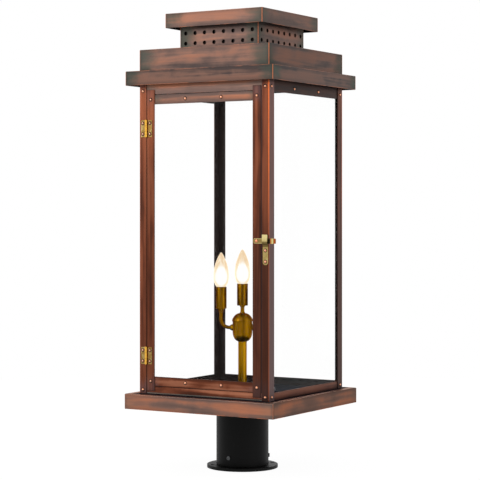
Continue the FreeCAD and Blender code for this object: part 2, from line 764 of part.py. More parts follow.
def make_rails():
    make_top_rail("front_header", HEADER_LOW, FRONT_ANGLE)
    make_bottom_rail("front_sill", SILL_TOP, FRONT_ANGLE)
    for side, angle in FIXED_SIDES:
        make_top_rail(f"{side}_top_rail", top_rail_low(side), angle)
        make_bottom_rail(f"{side}_bottom_rail", FLOOR + s["bottom_rail_show"], angle)


def make_door_stops():
    """Two strips from the sill to the header that close the gaps behind the door's edges."""
    outer = HALF - s["stop_inset"]
    face = -(POST_INSIDE - s["stop_gap"])
    left = block(
        "left_stop", (-outer, DOOR_LEFT + s["stop_lap"]), (face, face + s["sheet"]), (SILL_TOP, HEADER_LOW)
    )
    right = block(
        "right_stop", (DOOR_RIGHT - s["stop_lap"], outer), (face, face + s["sheet"]), (SILL_TOP, HEADER_LOW)
    )
    doc.recompute()
    return node(group("door_stops", [left.Shape, right.Shape]))


DOOR_PANE_TOP = OPENING_TOP + s["glass_lap"]
DOOR_PANE_LOW = OPENING_LOW - s["glass_lap"]


def make_fixed_panes():
    edge = HALF - s["pane_side_gap"]
    for side, angle in FIXED_SIDES:
        body = block(
            f"{side}_glass",
            (-edge, edge),
            (-RAIL_INSIDE, -GLASS_INSIDE),
            (FLOOR + s["sheet"], pane_top(side)),
        )
        node(turn(body, angle))


def make_clip_master(label, pane_edge, upward):
    """A clip bent over the edge of a pane: a foot on the rail, a step and a finger on the glass."""
    way = 1 if upward else -1
    thick = s["clip_sheet"]
    rail, glass = -RAIL_INSIDE, -GLASS_INSIDE
    step = pane_edge + way * 0.2
    foot = pane_edge + way * s["clip_reach"]
    finger = pane_edge - way * s["clip_reach"]
    body = new_body(label)
    sketch = sketch_on(body, "YZ_Plane")
    points = [
        (rail, step),
        (rail, foot),
        (rail + thick, foot),
        (rail + thick, step + way * thick),
        (glass + thick, step + way * thick),
        (glass + thick, finger),
        (glass, finger),
        (glass, step),
    ]
    draw(sketch, points)
    extrude(body, sketch, s["clip_width"], symmetric=True)
    doc.recompute()
    return body.Shape


def make_pane_clips():
    clip = make_clip_master("pane_clip_master", pane_top("left"), True)
    shapes = []
    for side, angle in FIXED_SIDES:
        turned = Placement(Vector(), Rotation(Vector(0, 0, 1), angle))
        rise = pane_top(side) - pane_top("left")
        for way in (-1, 1):
            along = Placement(vector(way * s["side_clip_spread"], 0, rise), Rotation())
            shapes.append(copy_at(clip, turned.multiply(along)))
    return node(group("pane_clips", shapes))


# --- rivets ----------------------------------------------------------------------------------


def rivet_head():
    """A domed rivet head that rises along +Z from its seat."""
    radius, rise = float(s["rivet_head"]) / 2, float(s["rivet_rise"])
    return stack(RIVET_SIDES, [(radius, 0), (radius * 0.82, rise * 0.6), (radius * 0.4, rise)])


def rivet_at(x, depth, z, angle=FRONT_ANGLE):
    """Seats a rivet head on the face at this depth of the side at this angle."""
    outward = Placement(vector(x, -depth, z), Rotation(Vector(1, 0, 0), 90))
    side = Placement(Vector(), Rotation(Vector(0, 0, 1), angle))
    return copy_at(rivet_head(), side.multiply(outward))


def make_frame_rivets():
    """Heads at the ends of every post flange and on the fixed top rails."""
    heights = (FLOOR + s["post_rivet_rise"], EAVE_LOW - s["post_rivet_drop"])
    narrow = HALF - s["front_flange"] / 2
    wide = HALF - s["side_flange"] / 2
    shapes = []
    for angle in (FRONT_ANGLE, RIGHT_ANGLE, REAR_ANGLE, LEFT_ANGLE):
        place = narrow if angle in (FRONT_ANGLE, REAR_ANGLE) else wide
        for z in heights:
            shapes += [rivet_at(way * place, HALF, z, angle) for way in (-1, 1)]
    for side, angle in FIXED_SIDES:
        z = heights[1] + top_rail_low(side) - top_rail_low("left")
        for way in (-1, 1):
            shapes.append(rivet_at(way * s["side_clip_spread"], POST_INSIDE, z, angle))
    return node(group("frame_rivets", shapes))


def make_door_rivets():
    shapes = []
    for z in (DOOR_RIVETS_LOW, DOOR_RIVETS_TOP):
        for x in (DOOR_LEFT + s["door_stile"] / 2, DOOR_RIGHT - s["door_stile"] / 2):
            shapes.append(rivet_at(x, HALF, z))
        for way in (-1, 1):
            shapes.append(rivet_at(DOOR_MIDDLE + way * s["door_clip_spread"], POST_INSIDE, z))
    leaf_face = HALF + s["hinge_leaf"]
    for middle in HINGE_MIDDLES:
        shapes += hinge_rivets(middle, 1, leaf_face)
    return node(group("door_rivets", shapes))


def hinge_rivets(middle, way, depth):
    """The two heads of one hinge leaf. The way is -1 on the post and 1 on the door."""
    spread = s["hinge_height"] / 2 - s["hinge_rivet_inset"]
    x = HINGE_X + way * s["hinge_rivet_reach"]
    return [rivet_at(x, depth, middle + up * spread) for up in (-1, 1)]


def make_hardware_rivets():
    """Heads of the post leaves and of the latch keeper."""
    shapes = []
    for middle in HINGE_MIDDLES:
        shapes += hinge_rivets(middle, -1, HALF + s["hinge_leaf"])
    face = HALF + s["keeper_sheet"]
    plate_foot = SHELF_LOW - s["keeper_plate"]
    for z in (SHELF_LOW - 11.6, plate_foot + 6.3):
        shapes.append(rivet_at(KEEPER_X, face, z))
    return node(group("hardware_rivets", shapes))


# --- door ------------------------------------------------------------------------------------


def make_door_frame():
    stile, lap = s["door_stile"], s["stile_lap"]
    stile_depth = (-HALF, -POST_INSIDE)
    rail_depth = (-POST_INSIDE, -RAIL_INSIDE)
    stile_span = (STILE_LOW, STILE_TOP)
    rail_span = (DOOR_LEFT + stile - lap, DOOR_RIGHT - stile + lap)
    node(block("door_hinge_stile", (DOOR_LEFT, DOOR_LEFT + stile), stile_depth, stile_span))
    node(block("door_latch_stile", (DOOR_RIGHT - stile, DOOR_RIGHT), stile_depth, stile_span))
    node(block("door_top_rail", rail_span, rail_depth, (OPENING_TOP, DOOR_TOP)))
    node(block("door_bottom_rail", rail_span, rail_depth, (DOOR_LOW, OPENING_LOW)))


def make_door_glass():
    lap = s["glass_lap"]
    left = DOOR_LEFT + s["door_stile"] - lap
    right = DOOR_RIGHT - s["door_stile"] + lap
    depth = (-RAIL_INSIDE, -GLASS_INSIDE)
    return node(block("door_glass", (left, right), depth, (DOOR_PANE_LOW, DOOR_PANE_TOP)))


def make_door_clips():
    masters = (
        make_clip_master("door_clip_top_master", DOOR_PANE_TOP, True),
        make_clip_master("door_clip_low_master", DOOR_PANE_LOW, False),
    )
    shapes = []
    for clip in masters:
        for way in (-1, 1):
            x = DOOR_MIDDLE + way * s["door_clip_spread"]
            shapes.append(copy_at(clip, Placement(vector(x, 0, 0), Rotation())))
    return node(group("door_clips", shapes))


# --- hinges ----------------------------------------------------------------------------------


def hinge_leaf(middle, way, knuckles):
    """One leaf of a butt hinge. Each knuckle is (low, high) as shares of the hinge's height."""
    height = float(s["hinge_height"])
    low = float(middle) - height / 2
    axis_x, axis_y, front = float(HINGE_X), float(HINGE_Y), float(FRONT)
    barrel = float(s["knuckle_diameter"]) / 2
    clear = barrel + float(s["knuckle_gap"])
    leaf, reach = float(s["hinge_leaf"]), float(s["hinge_reach"])
    corner = min(axis_x + way * clear, axis_x + way * reach)
    shape = Part.makeBox(reach - clear, leaf, height, Vector(corner, front - leaf, low))
    for share_low, share_high in knuckles:
        z = low + share_low * height
        length = (share_high - share_low) * height
        inner = min(axis_x, axis_x + way * clear)
        root = Part.makeBox(clear, leaf, length, Vector(inner, front - leaf, z))
        knuckle = Part.makeCylinder(barrel, length, Vector(axis_x, axis_y, z))
        shape = shape.fuse([root, knuckle])
    bore = float(s["pin_diameter"]) / 2 + float(s["pin_gap"])
    hole = Part.makeCylinder(bore, height + 2, Vector(axis_x, axis_y, low - 1))
    return shape.cut(hole).removeSplitter()


def make_hinges():
    """Post leaves with two outer knuckles, door leaves with the middle one, and their pins."""
    play = float(s["knuckle_gap"]) / float(s["hinge_height"]) / 2
    outer = ((0, 1 / 3 - play), (2 / 3 + play, 1))
    middle_one = ((1 / 3 + play, 2 / 3 - play),)
    post_leaves = [hinge_leaf(middle, -1, outer) for middle in HINGE_MIDDLES]
    door_leaves = [hinge_leaf(middle, 1, middle_one) for middle in HINGE_MIDDLES]
    node(group("hinge_post_leaves", post_leaves))
    node(group("hinge_door_leaves", door_leaves))
    node(group("hinge_pins", [hinge_pin(middle) for middle in HINGE_MIDDLES]))


def hinge_pin(middle):
    """A pin with a small round head on its upper end."""
    radius, head = float(s["pin_diameter"]) / 2, float(s["pin_head"]) / 2
    end = float(s["hinge_height"]) / 2
    shank = Part.makeCylinder(radius, 2 * end + 0.8, Vector(0, 0, -end - 0.8))
    cap = stack(SMALL_SIDES, [(head, end), (head, end + 0.5), (head * 0.5, end + 1.2)])
    pin = shank.fuse(cap).removeSplitter()
    return copy_at(pin, Placement(vector(HINGE_X, HINGE_Y, middle), Rotation()))


# --- latch -----------------------------------------------------------------------------------


def make_latch_bar():
    """A brass strip that runs flat past the keeper, then curls outward into a finger tab."""
    body = new_body("latch_bar")
    centre_y = (BAR_BACK + BAR_FRONT) / 2
    tail = LATCH_X - s["latch_tail"]
    bend_at = LATCH_X + s["latch_straight"]
    bend, curl = s["finger_bend"], s["finger_curl"]
    out, back = s["finger_angle"], s["finger_return"]
    bend_end = (bend_at + bend * out.sin(), centre_y - bend * (1 - out.cos()))
    tip = (
        bend_end[0] + curl * (out.sin() + back.sin()),
        bend_end[1] - curl * (back.cos() - out.cos()),
    )
    path = sketch_on(body, offset=LATCH_Z)
    draw(
        path,
        [(tail, centre_y), (bend_at, centre_y), (*bend_end, bend, False), (*tip, curl, True)],
        closed=False,
    )
    section = sketch_on(body, "YZ_Plane", offset=tail)
    half_width = s["latch_width"] / 2
    draw_rectangle(section, BAR_FRONT, BAR_BACK, LATCH_Z - half_width, LATCH_Z + half_width)
    pipe = body.newObject("PartDesign::AdditivePipe", "latch_strip")
    pipe.Profile = section
    pipe.Spine = path
    tail_x = float(tail)
    round_edges(body, s["latch_width"] * 0.45, lambda edge: is_end_corner(edge, "XMin", tail_x))
    hole = sketch_on(body, "XZ_Plane", offset=-BAR_BACK - 1)
    draw_circle(hole, s["latch_shank"] + 2 * s["pin_gap"], x=LATCH_X, y=LATCH_Z)
    cut(body, hole, s["latch_sheet"] + 2, reverse=True)
    return node(body)


def is_end_corner(edge, side, place):
    """A short edge along the sheet's thickness at the strip's end."""
    box = edge.BoundBox
    along_thickness = box.XLength < 0.01 and box.ZLength < 0.01
    return along_thickness and abs(getattr(box, side) - place) < 0.01


def make_latch_pivot():
    """The copper rivet that the bar turns on, with its shoulder behind the bar."""
    shank = float(s["latch_shank"]) / 2
    back, face = float(POST_INSIDE), float(HALF)
    seat = face + float(s["latch_washer"]) - 0.1
    head_seat = face + float(s["latch_washer"] + s["latch_sheet"]) + 0.1
    top = head_seat + float(s["rivet_rise"])
    head = float(s["rivet_head"]) / 2
    stem = Part.makeCylinder(shank, head_seat + 0.5 - back, Vector(0, 0, back))
    shoulder = prism(SMALL_SIDES, shank + 1.6, face, seat)
    dome = stack(SMALL_SIDES, [(head, head_seat), (head * 0.82, top - 0.6), (head * 0.4, top)])
    pivot = stem.fuse([shoulder, dome]).removeSplitter()
    outward = Placement(vector(LATCH_X, 0, LATCH_Z), Rotation(Vector(1, 0, 0), 90))
    return node(group("latch_pivot", [copy_at(pivot, outward)]))


def drill_latch_stile(stile):
    hole = sketch_on(stile, "XZ_Plane", offset=POST_INSIDE - 1)
    draw_circle(hole, s["latch_shank"] + 2 * s["pin_gap"], x=LATCH_X, y=LATCH_Z)
    cut(stile, hole, s["sheet"] + 2, reverse=True)


def make_latch_keeper():
    """A strip riveted to the post, bent out to a shelf and up again to a lip."""
    thick = s["keeper_sheet"]
    back = FRONT
    foot = SHELF_LOW - s["keeper_plate"]
    lip_back = FRONT - s["keeper_slot"]
    lip_front = lip_back - thick
    lip_top = SHELF_TOP + s["keeper_lip"]
    body = new_body("latch_keeper")
    sketch = sketch_on(body, "YZ_Plane", offset=KEEPER_X)
    points = [
        (back, foot),
        (back, SHELF_TOP),
        (lip_back, SHELF_TOP),
        (lip_back, lip_top),
        (lip_front, lip_top),
        (lip_front, SHELF_LOW),
        (back - thick, SHELF_LOW),
        (back - thick, foot),
    ]
    draw(sketch, points)
    extrude(body, sketch, s["keeper_width"], symmetric=True)
    places = ((float(lip_front), float(SHELF_LOW)),)
    round_edges(body, s["keeper_bend"], lambda edge: is_bend(edge, places))
    foot_z = float(foot)
    round_edges(body, s["keeper_width"] * 0.45, lambda edge: is_foot_corner(edge, foot_z))
    return node(body)


def is_bend(edge, places):
    box = edge.BoundBox
    across = box.YLength < 0.01 and box.ZLength < 0.01
    return across and any(abs(box.YMin - y) < 0.01 and abs(box.ZMin - z) < 0.01 for y, z in places)


def is_foot_corner(edge, z):
    box = edge.BoundBox
    return box.XLength < 0.01 and box.ZLength < 0.01 and abs(box.ZMin - z) < 0.01


# --- light cluster ---------------------------------------------------------------------------


def make_column():
    """The turned pieces on the axis: stem with its washer and locknut, body, cap and neck."""
    stem, washer = make_stem(), make_washer()
    doc.recompute()
    shapes = [stem.Shape, washer.Shape, locknut_shape()]
    turned = [cluster_body_shape(), cluster_cap_shape(), neck_shape()]
    shapes += [shape for piece in turned for shape in turned_copies(piece, [float(s["cluster_turn"])])]
    return node(group("cluster_column", shapes))


def make_stem():
    return tube("stem", s["stem_diameter"], s["tube_wall"], STEM_LOW, BODY_LOW)


def make_washer():
    bore = s["stem_diameter"] / 2 + s["pin_gap"]
    wide = s["washer_diameter"]
    return tube("washer", wide, wide / 2 - bore, FLOOR, FLOOR + s["washer_thickness"])


def locknut_shape():
    corner = float(s["locknut_width"]) / 2 / math.cos(math.radians(30))
    low, high = float(FLOOR_UNDER - s["locknut_height"]), float(FLOOR_UNDER)
    bore = float(s["stem_diameter"]) / 2 + float(s["pin_gap"])
    hole = Part.makeCylinder(bore, high - low, Vector(0, 0, low))
    return prism(6, corner, low, high).cut(hole)


def cluster_body_shape():
    """The body with its rounded bottom and the two bosses that the arms are screwed into."""
    outside = float(s["cluster_body_diameter"]) / 2
    foot = float(s["stem_diameter"]) / 2 + 1.0
    low, bowl = float(BODY_LOW), float(s["cluster_bowl"])
    cup = stack(
        TURNED_SIDES,
        [
            (foot, low),
            (foot + (outside - foot) * 0.6, low + bowl * 0.26),
            (foot + (outside - foot) * 0.9, low + bowl * 0.62),
            (outside, low + bowl),
            (outside, float(SEAM)),
        ],
    )
    mouth = outside + float(s["boss_length"])
    rim = float(s["arm_diameter"] / 2 + s["boss_wall"])
    boss = stack(SMALL_SIDES, [(float(s["boss_diameter"]) / 2, outside - 3.0), (rim, mouth)])
    bore = float(s["arm_diameter"] / 2 + s["pin_gap"])
    socket = prism(SMALL_SIDES, bore, mouth - float(s["arm_engagement"]), mouth + 1.0)
    corner_on_y = Rotation(Vector(0, 1, 0), 90).multiply(Rotation(Vector(0, 0, 1), 90))
    along_x = Placement(vector(0, 0, ARM_Z), corner_on_y)
    bosses = turned_copies(copy_at(boss, along_x), (0, 180))
    sockets = turned_copies(copy_at(socket, along_x), (0, 180))
    return cup.fuse(bosses).cut(sockets).removeSplitter()


def cluster_cap_shape():
    """The cap: a straight rim that overhangs the body a little, and a low dome."""
    outside = float(s["cluster_cap_diameter"]) / 2
    low, top = float(CLUSTER_CAP_LOW), float(CLUSTER_CAP_TOP)
    skirt_top = low + float(s["cluster_cap_skirt"])
    rise = top - skirt_top
    return stack(
        TURNED_SIDES,
        [
            (outside, low),
            (outside, skirt_top),
            (outside * 0.84, skirt_top + rise * 0.45),
            (outside * 0.56, skirt_top + rise * 0.82),
            (float(s["neck_end"]) + 0.6, top),
        ],
    )


def neck_shape():
    """A turned neck, waisted between its ends."""
    low, high = float(CLUSTER_CAP_TOP), float(CENTRE_SLEEVE_LOW)
    end, waist = float(s["neck_end"]), float(s["neck_waist"])
    levels = [(end, low), (waist, low + 2.8), (waist, high - 3.6), (end, high - 1.2), (end, high)]
    return stack(TURNED_SIDES, levels)


def make_arms():
    """Two bent arms that leave the body level and end upright under their sleeves."""
    start = s["cluster_body_diameter"] / 2 + s["boss_length"] - s["arm_engagement"]
    level_end = s["arm_reach"] - s["arm_bend"]
    body = new_body("arm")
    path = sketch_on(body, "XZ_Plane")
    draw(
        path,
        [
            (start, ARM_Z),
            (level_end, ARM_Z),
            (s["arm_reach"], ARM_Z + s["arm_bend"], s["arm_bend"], True),
            (s["arm_reach"], SIDE_SLEEVE_LOW),
        ],
        closed=False,
    )
    section = sketch_on(body, "YZ_Plane", offset=start)
    draw_small_round(section, s["arm_diameter"], y=ARM_Z)
    pipe = body.newObject("PartDesign::AdditivePipe", "arm_bar")
    pipe.Profile = section
    pipe.Spine = path
    doc.recompute()
    angle = float(s["cluster_turn"])
    return node(group("cluster_arms", turned_copies(body.Shape, (angle, angle + 180))))


def make_candle_sleeve():
    """A sleeve round its lampholder, whose top shows inside the mouth. The foot is at height 0."""
    outside = s["sleeve_diameter"] / 2
    inside = outside - s["sleeve_wall"]
    top = s["sleeve_height"]
    holder_top = top - s["sleeve_recess"]
    body = new_body("candle_sleeve")
    spin(
        body,
        [
            (0.0, 0.0),
            (outside, 0.0),
            (outside, top),
            (inside, top),
            (inside, holder_top),
            (0.0, holder_top),
        ],
    )
    return body


def bulb_shape():
    """A torpedo bulb: a narrow neck, a full belly and a long taper to a blunt tip."""
    neck, belly = float(s["bulb_neck"]) / 2, float(s["bulb_diameter"]) / 2
    mouth, rise = float(s["sleeve_height"]), float(s["bulb_belly"])
    wide_at, top = mouth + rise, mouth + float(s["bulb_show"])
    taper = top - wide_at
    return stack(
        TURNED_SIDES,
        [
            (neck, mouth - float(s["sleeve_recess"])),
            (neck, mouth + 2.0),
            (neck + (belly - neck) * 0.62, mouth + rise * 0.42),
            (neck + (belly - neck) * 0.93, mouth + rise * 0.74),
            (belly, wide_at),
            (belly * 0.9, wide_at + taper * 0.32),
            (belly * 0.6, wide_at + taper * 0.7),
            (belly * 0.3, wide_at + taper * 0.93),
            (belly * 0.08, top),
        ],
    )


def light_placements():
    """The feet of the centre light and of the two on the arms."""
    angle = float(s["cluster_turn"])
    places = [Placement(vector(0, 0, CENTRE_SLEEVE_LOW), Rotation())]
    for turn_angle in (angle, angle + 180):
        away = Rotation(Vector(0, 0, 1), turn_angle).multVec(vector(s["arm_reach"], 0, 0))
        places.append(Placement(away + vector(0, 0, SIDE_SLEEVE_LOW), Rotation()))
    return places


def make_lights():
    sleeve = make_candle_sleeve()
    doc.recompute()
    places = light_placements()
    node(group("candle_sleeves", [copy_at(sleeve.Shape, place) for place in places]))
    node(group("bulbs", [copy_at(bulb_shape(), place) for place in places]))


# --- build and export ------------------------------------------------------------------------


def make_lantern():
    make_pier_plate()
    make_pier_stub()
    make_fitter()
    make_set_screws()
    make_fitter_bolts()
    make_base_tray()
    make_posts()
    make_rails()
    make_door_stops()
    make_fixed_panes()
    make_pane_clips()
    make_roof()
    make_frame_rivets()
    make_door_frame()
    make_door_glass()
    make_door_clips()
    make_door_rivets()
    make_hinges()
    make_hardware_rivets()
    make_latch_bar()
    make_latch_pivot()
    make_latch_keeper()
    drill_latch_stile(doc.getObject("door_latch_stile"))
    make_column()
    make_arms()
    make_lights()


def check_model():
    doc.recompute()
    for thing in doc.Objects:
        if "Invalid" in thing.State or "Error" in thing.State:
            raise RuntimeError(f"{thing.Label} failed: {thing.State}")
    for thing in nodes:
        if thing.Shape.isNull() or not thing.Shape.isValid():
            raise RuntimeError(f"{thing.Label} has no valid shape")


def export_nodes():
    os.makedirs("parts", exist_ok=True)
    for thing in nodes:
        thing.Shape.exportStep(f"parts/{thing.Label}.step")


make_lantern()
check_model()
export_nodes()
print(f"{len(nodes)} nodes")
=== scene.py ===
"""Visual model of a riveted copper post lantern with a hinged glazed door and a candle cluster.

Every piece is made in metres, in place, in the frame of the CAD model: +Z is up, the door is on
the front at -Y, and its hinges are at -X.
"""

import math

import bmesh
import bpy
from bpy.props import FloatProperty, FloatVectorProperty, IntProperty, PointerProperty
from mathutils import Matrix, Vector


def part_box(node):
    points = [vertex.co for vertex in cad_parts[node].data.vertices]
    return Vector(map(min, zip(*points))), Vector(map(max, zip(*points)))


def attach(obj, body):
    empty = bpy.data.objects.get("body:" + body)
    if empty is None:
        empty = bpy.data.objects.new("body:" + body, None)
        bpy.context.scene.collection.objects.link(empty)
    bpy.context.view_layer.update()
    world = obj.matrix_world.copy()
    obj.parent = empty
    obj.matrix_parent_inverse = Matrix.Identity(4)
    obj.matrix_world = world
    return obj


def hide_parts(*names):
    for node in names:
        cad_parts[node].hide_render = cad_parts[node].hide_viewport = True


bl_info = {
    "name": "Post Lantern",
    "version": (1, 0, 0),
    "blender": (4, 5, 0),
    "location": "View3D > Sidebar > Lantern",
    "description": "Dresses the CAD frame of a copper post lantern with finished pieces and a studio",
    "category": "Object",
}

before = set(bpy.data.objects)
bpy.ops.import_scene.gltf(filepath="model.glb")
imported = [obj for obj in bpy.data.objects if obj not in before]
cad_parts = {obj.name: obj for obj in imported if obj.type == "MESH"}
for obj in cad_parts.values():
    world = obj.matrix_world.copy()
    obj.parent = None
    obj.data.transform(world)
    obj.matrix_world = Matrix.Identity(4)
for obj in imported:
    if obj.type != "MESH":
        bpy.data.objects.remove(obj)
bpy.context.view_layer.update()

MM = 0.001
UP = Vector((0, 0, 1))
QUARTER = math.pi / 2

# Millimetres from the lantern's axis to where the painted shade on a piece's inner faces begins.
POST_SKIN, RAIL_SKIN, STILE_SKIN, DOOR_RAIL_SKIN, COLLAR_SKIN = 149.3, 148.1, 149.4, 148.2, 90.9

# Places and sizes in metres.
RAIL_FACE, RAIL_END = 0.1488, 0.1485
BAFFLE_EXTRA = 0.0018
STRIP_HALF, STRIP_BACK, STRIP_THICK = 0.1325, -0.1473, 0.0008
KEEPER_SHELF = 0.4565
COLUMN_SEAT, COLUMN_SEAM, NECK_FOOT = 0.2546, 0.2956, 0.3124
CLUSTER_TURN = math.radians(31)
ARM_REACH, ARM_LEVEL = 0.0433, 0.2832
SLEEVE_TALL, SIDE_FOOT, MIDDLE_FOOT = 0.0443, 0.3217, 0.328
ARM_START, STEM_NUT, STEM_WASHER = 0.0205, 0.1488, 0.155
SCREW_SEAT, BOLT_SEAT, NUT_SEAT = 0.0531, 0.1551, 0.1507
TRAY_CORNER, COLLAR_CORNER = 0.0011, 0.0010
FLOOR_RADIUS = 1.9
EYE = (1.77798, -2.93969, 0.5186)

# Millimetres.
FITTER_BORE, FITTER_OUT, STUB_WALL = 51.2, 53, 3.2


# --- settings --------------------------------------------------------------------------------


def linear(*display):
    """A colour written as 0 to 255 display values, as the renderer wants it."""
    shares = [value / 255 for value in display]
    return tuple(s / 12.92 if s <= 0.04045 else ((s + 0.055) / 1.055) ** 2.4 for s in shares)


def colour(name, description, *display):
    kind = dict(subtype="COLOR", size=3, min=0.0, max=1.0)
    return FloatVectorProperty(name=name, description=description, default=linear(*display), **kind)


def number(name, description, default, low=0.0, **kind):
    return FloatProperty(name=name, description=description, default=default, min=low, **kind)


def length(name, description, millimetres):
    kind = dict(unit="LENGTH", subtype="DISTANCE", precision=5)
    return number(name, description, millimetres * MM, **kind)


WARM = linear(160, 92, 62)


class CopperFinish(bpy.types.PropertyGroup):
    """Colours and folds of the aged copper sheet."""

    brown: colour("Brown", "Aged copper of the trays and the roof", 106, 82, 73)
    # Dusk is also the colour of the painted shade along the trays' edges.
    dusk: colour("Dusk", "Darkest streaks and margins of the trays", 66, 57, 55)
    russet: colour("Russet", "Redder aged copper of the frame", 104, 56, 38)
    # Umber is also the colour of the painted shade along the frame's edges.
    umber: colour("Umber", "Darkest streaks and edges of the frame", 54, 34, 28)
    ember: colour("Ember", "Warm streaks where the ageing is thin", 146, 94, 71)
    patina: colour("Patina", "Grey-green bloom near ends and in smudges", 84, 90, 82)
    slate: colour("Slate", "Blue-grey bloom on the frame", 92, 82, 88)
    bare: colour("Bare edge", "Rubbed copper on soldered corners and hems", 202, 122, 84)
    copper_line: colour("Fold line", "Rubbed copper along a post's fold", 210, 106, 56)
    # Painted shade: the dark of the inner faces and the deck, of the darkened pieces and of the rivets'
    # shadow rings.
    shade_tone: colour("Inside", "Dark inner faces of the body", 30, 27, 27)
    fold: length("Fold", "Outside radius of a fold in the sheet", 0.9)
    roll: length("Roll", "Outside radius of the base tray's upper fold", 2.2)
    sheet: length("Sheet", "Thickness of the copper sheet", 1.2)
    hem: length("Hem", "Height of the doubled hem at the foot of each tray", 6.0)
    seam: length("Seam", "Radius of the solder bead on a tray's corner", 0.7)


class VentPattern(bpy.types.PropertyGroup):
    """The round holes punched in each wall of the collar."""

    hole: length("Hole", "Diameter of a hole", 8.2)
    pitch: length("Pitch", "From hole to hole along a row", 22.3)
    row_gap: length("Row gap", "From the lower row to the upper one", 20.3)
    first_row: length("First row", "Lower row over the collar's foot", 13.9)
    lip: length("Lip", "Radius of the punched rim round a hole", 0.2)
    columns: IntProperty(name="Columns", description="Holes in a row", default=8, min=1)
    rows: IntProperty(name="Rows", description="Rows of holes", default=2, min=1)


class RivetHead(bpy.types.PropertyGroup):
    """Domed copper rivet heads."""

    diameter: length("Diameter", "Across a head", 5.8)
    rise: length("Rise", "Height of a head over its seat", 1.9)
    pink: colour("Copper", "Fresh copper of a head", 240, 158, 116)


class BrassFinish(bpy.types.PropertyGroup):
    """Colours of the brass pieces."""

    hinge: colour("Hinge", "Olive brass of a hinge's leaves", 140, 110, 58)
    latch: colour("Latch", "Olive brass of the latch and its keeper", 160, 138, 84)
    # Lip is also the colour of the painted highlights on the latch's rims and towards the keeper's lip.
    lip: colour("Lip", "Pale rubbed brass on edges and lips", 210, 194, 136)
    # Barrel is the colour of the painted highlight on a hinge's barrel.
    barrel: colour("Barrel", "Bright brass where a hinge turns", 226, 172, 70)
    antique: colour("Antique", "Dark gold of the light cluster", 116, 78, 2)
    tarnish: colour("Tarnish", "Brown tarnish on antique brass", 76, 47, 2)
    # Polish is also the colour of the painted light on the cluster's underside.
    glow: colour("Polish", "Rubbed gold on antique brass", 184, 136, 6)


class Lamp(bpy.types.PropertyGroup):
    """The lit bulbs."""

    core: colour("Core", "Light of the filament zone", 255, 254, 249)
    tip: colour("Envelope", "Warm frosted envelope", 234, 203, 160)
    strength: number("Strength", "Emission of the core, where 1 is white", 1.25)
    envelope: number("Envelope strength", "Emission of the envelope", 1.0)


class Studio(bpy.types.PropertyGroup):
    """Camera, floor and lamps."""

    lens: number("Lens", "Focal length on a 36 mm sensor", 126.68, 1.0)
    lower: number("Shift", "Vertical shift of the lens", -0.059, -1.0, max=1.0)
    key: number("Key", "Power of the large lamp", 34.0, subtype="POWER")
    fill: number("Fill", "Power of the lamp on the right", 14.0, subtype="POWER")
    rim: number("Rim", "Power of the lamp behind", 10.0, subtype="POWER")
    ambient: number("Ambient", "Strength of the studio's even light", 0.62, max=1.0)


# --- node trees ------------------------------------------------------------------------------


class Term:
    """A socket in a tree that is written in sums like a number."""

    def __init__(self, graph, socket):
        self.graph, self.socket = graph, socket

    def out(self, name):
        """Another output of the same node."""
        return Term(self.graph, self.socket.node.outputs[name])

    def __add__(self, other):
        return self.graph.sum("ADD", self, other)

    __radd__ = __add__

    def __sub__(self, other):
        return self.graph.sum("SUBTRACT", self, other)

    def __rsub__(self, other):
        return self.graph.sum("SUBTRACT", other, self)

    def __mul__(self, other):
        return self.graph.sum("MULTIPLY", self, other)

    __rmul__ = __mul__

    def __truediv__(self, other):
        return self.graph.sum("DIVIDE", self, other)

    def __abs__(self):
        return self.graph.sum("ABSOLUTE", self)

    def rise(self, low, high, start=0.0, end=1.0):
        """A soft step of the value between two levels."""
        sockets = {"Value": self, "From Min": low, "From Max": high, "To Min": start, "To Max": end}
        return self.graph.add("ShaderNodeMapRange", sockets, interpolation_type="SMOOTHSTEP")


def least(one, two):
    return one.graph.sum("MINIMUM", one, two)


def most(one, two):
    return one.graph.sum("MAXIMUM", one, two)


class Graph:
    """A node tree being built."""

    def __init__(self, tree):
        self.tree = tree
        self.tree.nodes.clear()

    def add(self, kind, sockets=None, out=0, **settings):
        """Makes one node, sets it, fills or links its inputs, and gives one output."""
        node = self.tree.nodes.new(kind)
        for name, value in settings.items():
            setattr(node, name, value)
        for name, value in (sockets or {}).items():
            socket = node.inputs[name]
            if isinstance(value, Term):
                self.tree.links.new(value.socket, socket)
            elif socket.type == "RGBA" and len(value) == 3:
                socket.default_value = (*value, 1.0)
            else:
                socket.default_value = value
        return Term(self, node.outputs[out]) if node.outputs else None

    def sum(self, operation, *values):
        return self.add("ShaderNodeMath", dict(enumerate(values)), operation=operation)


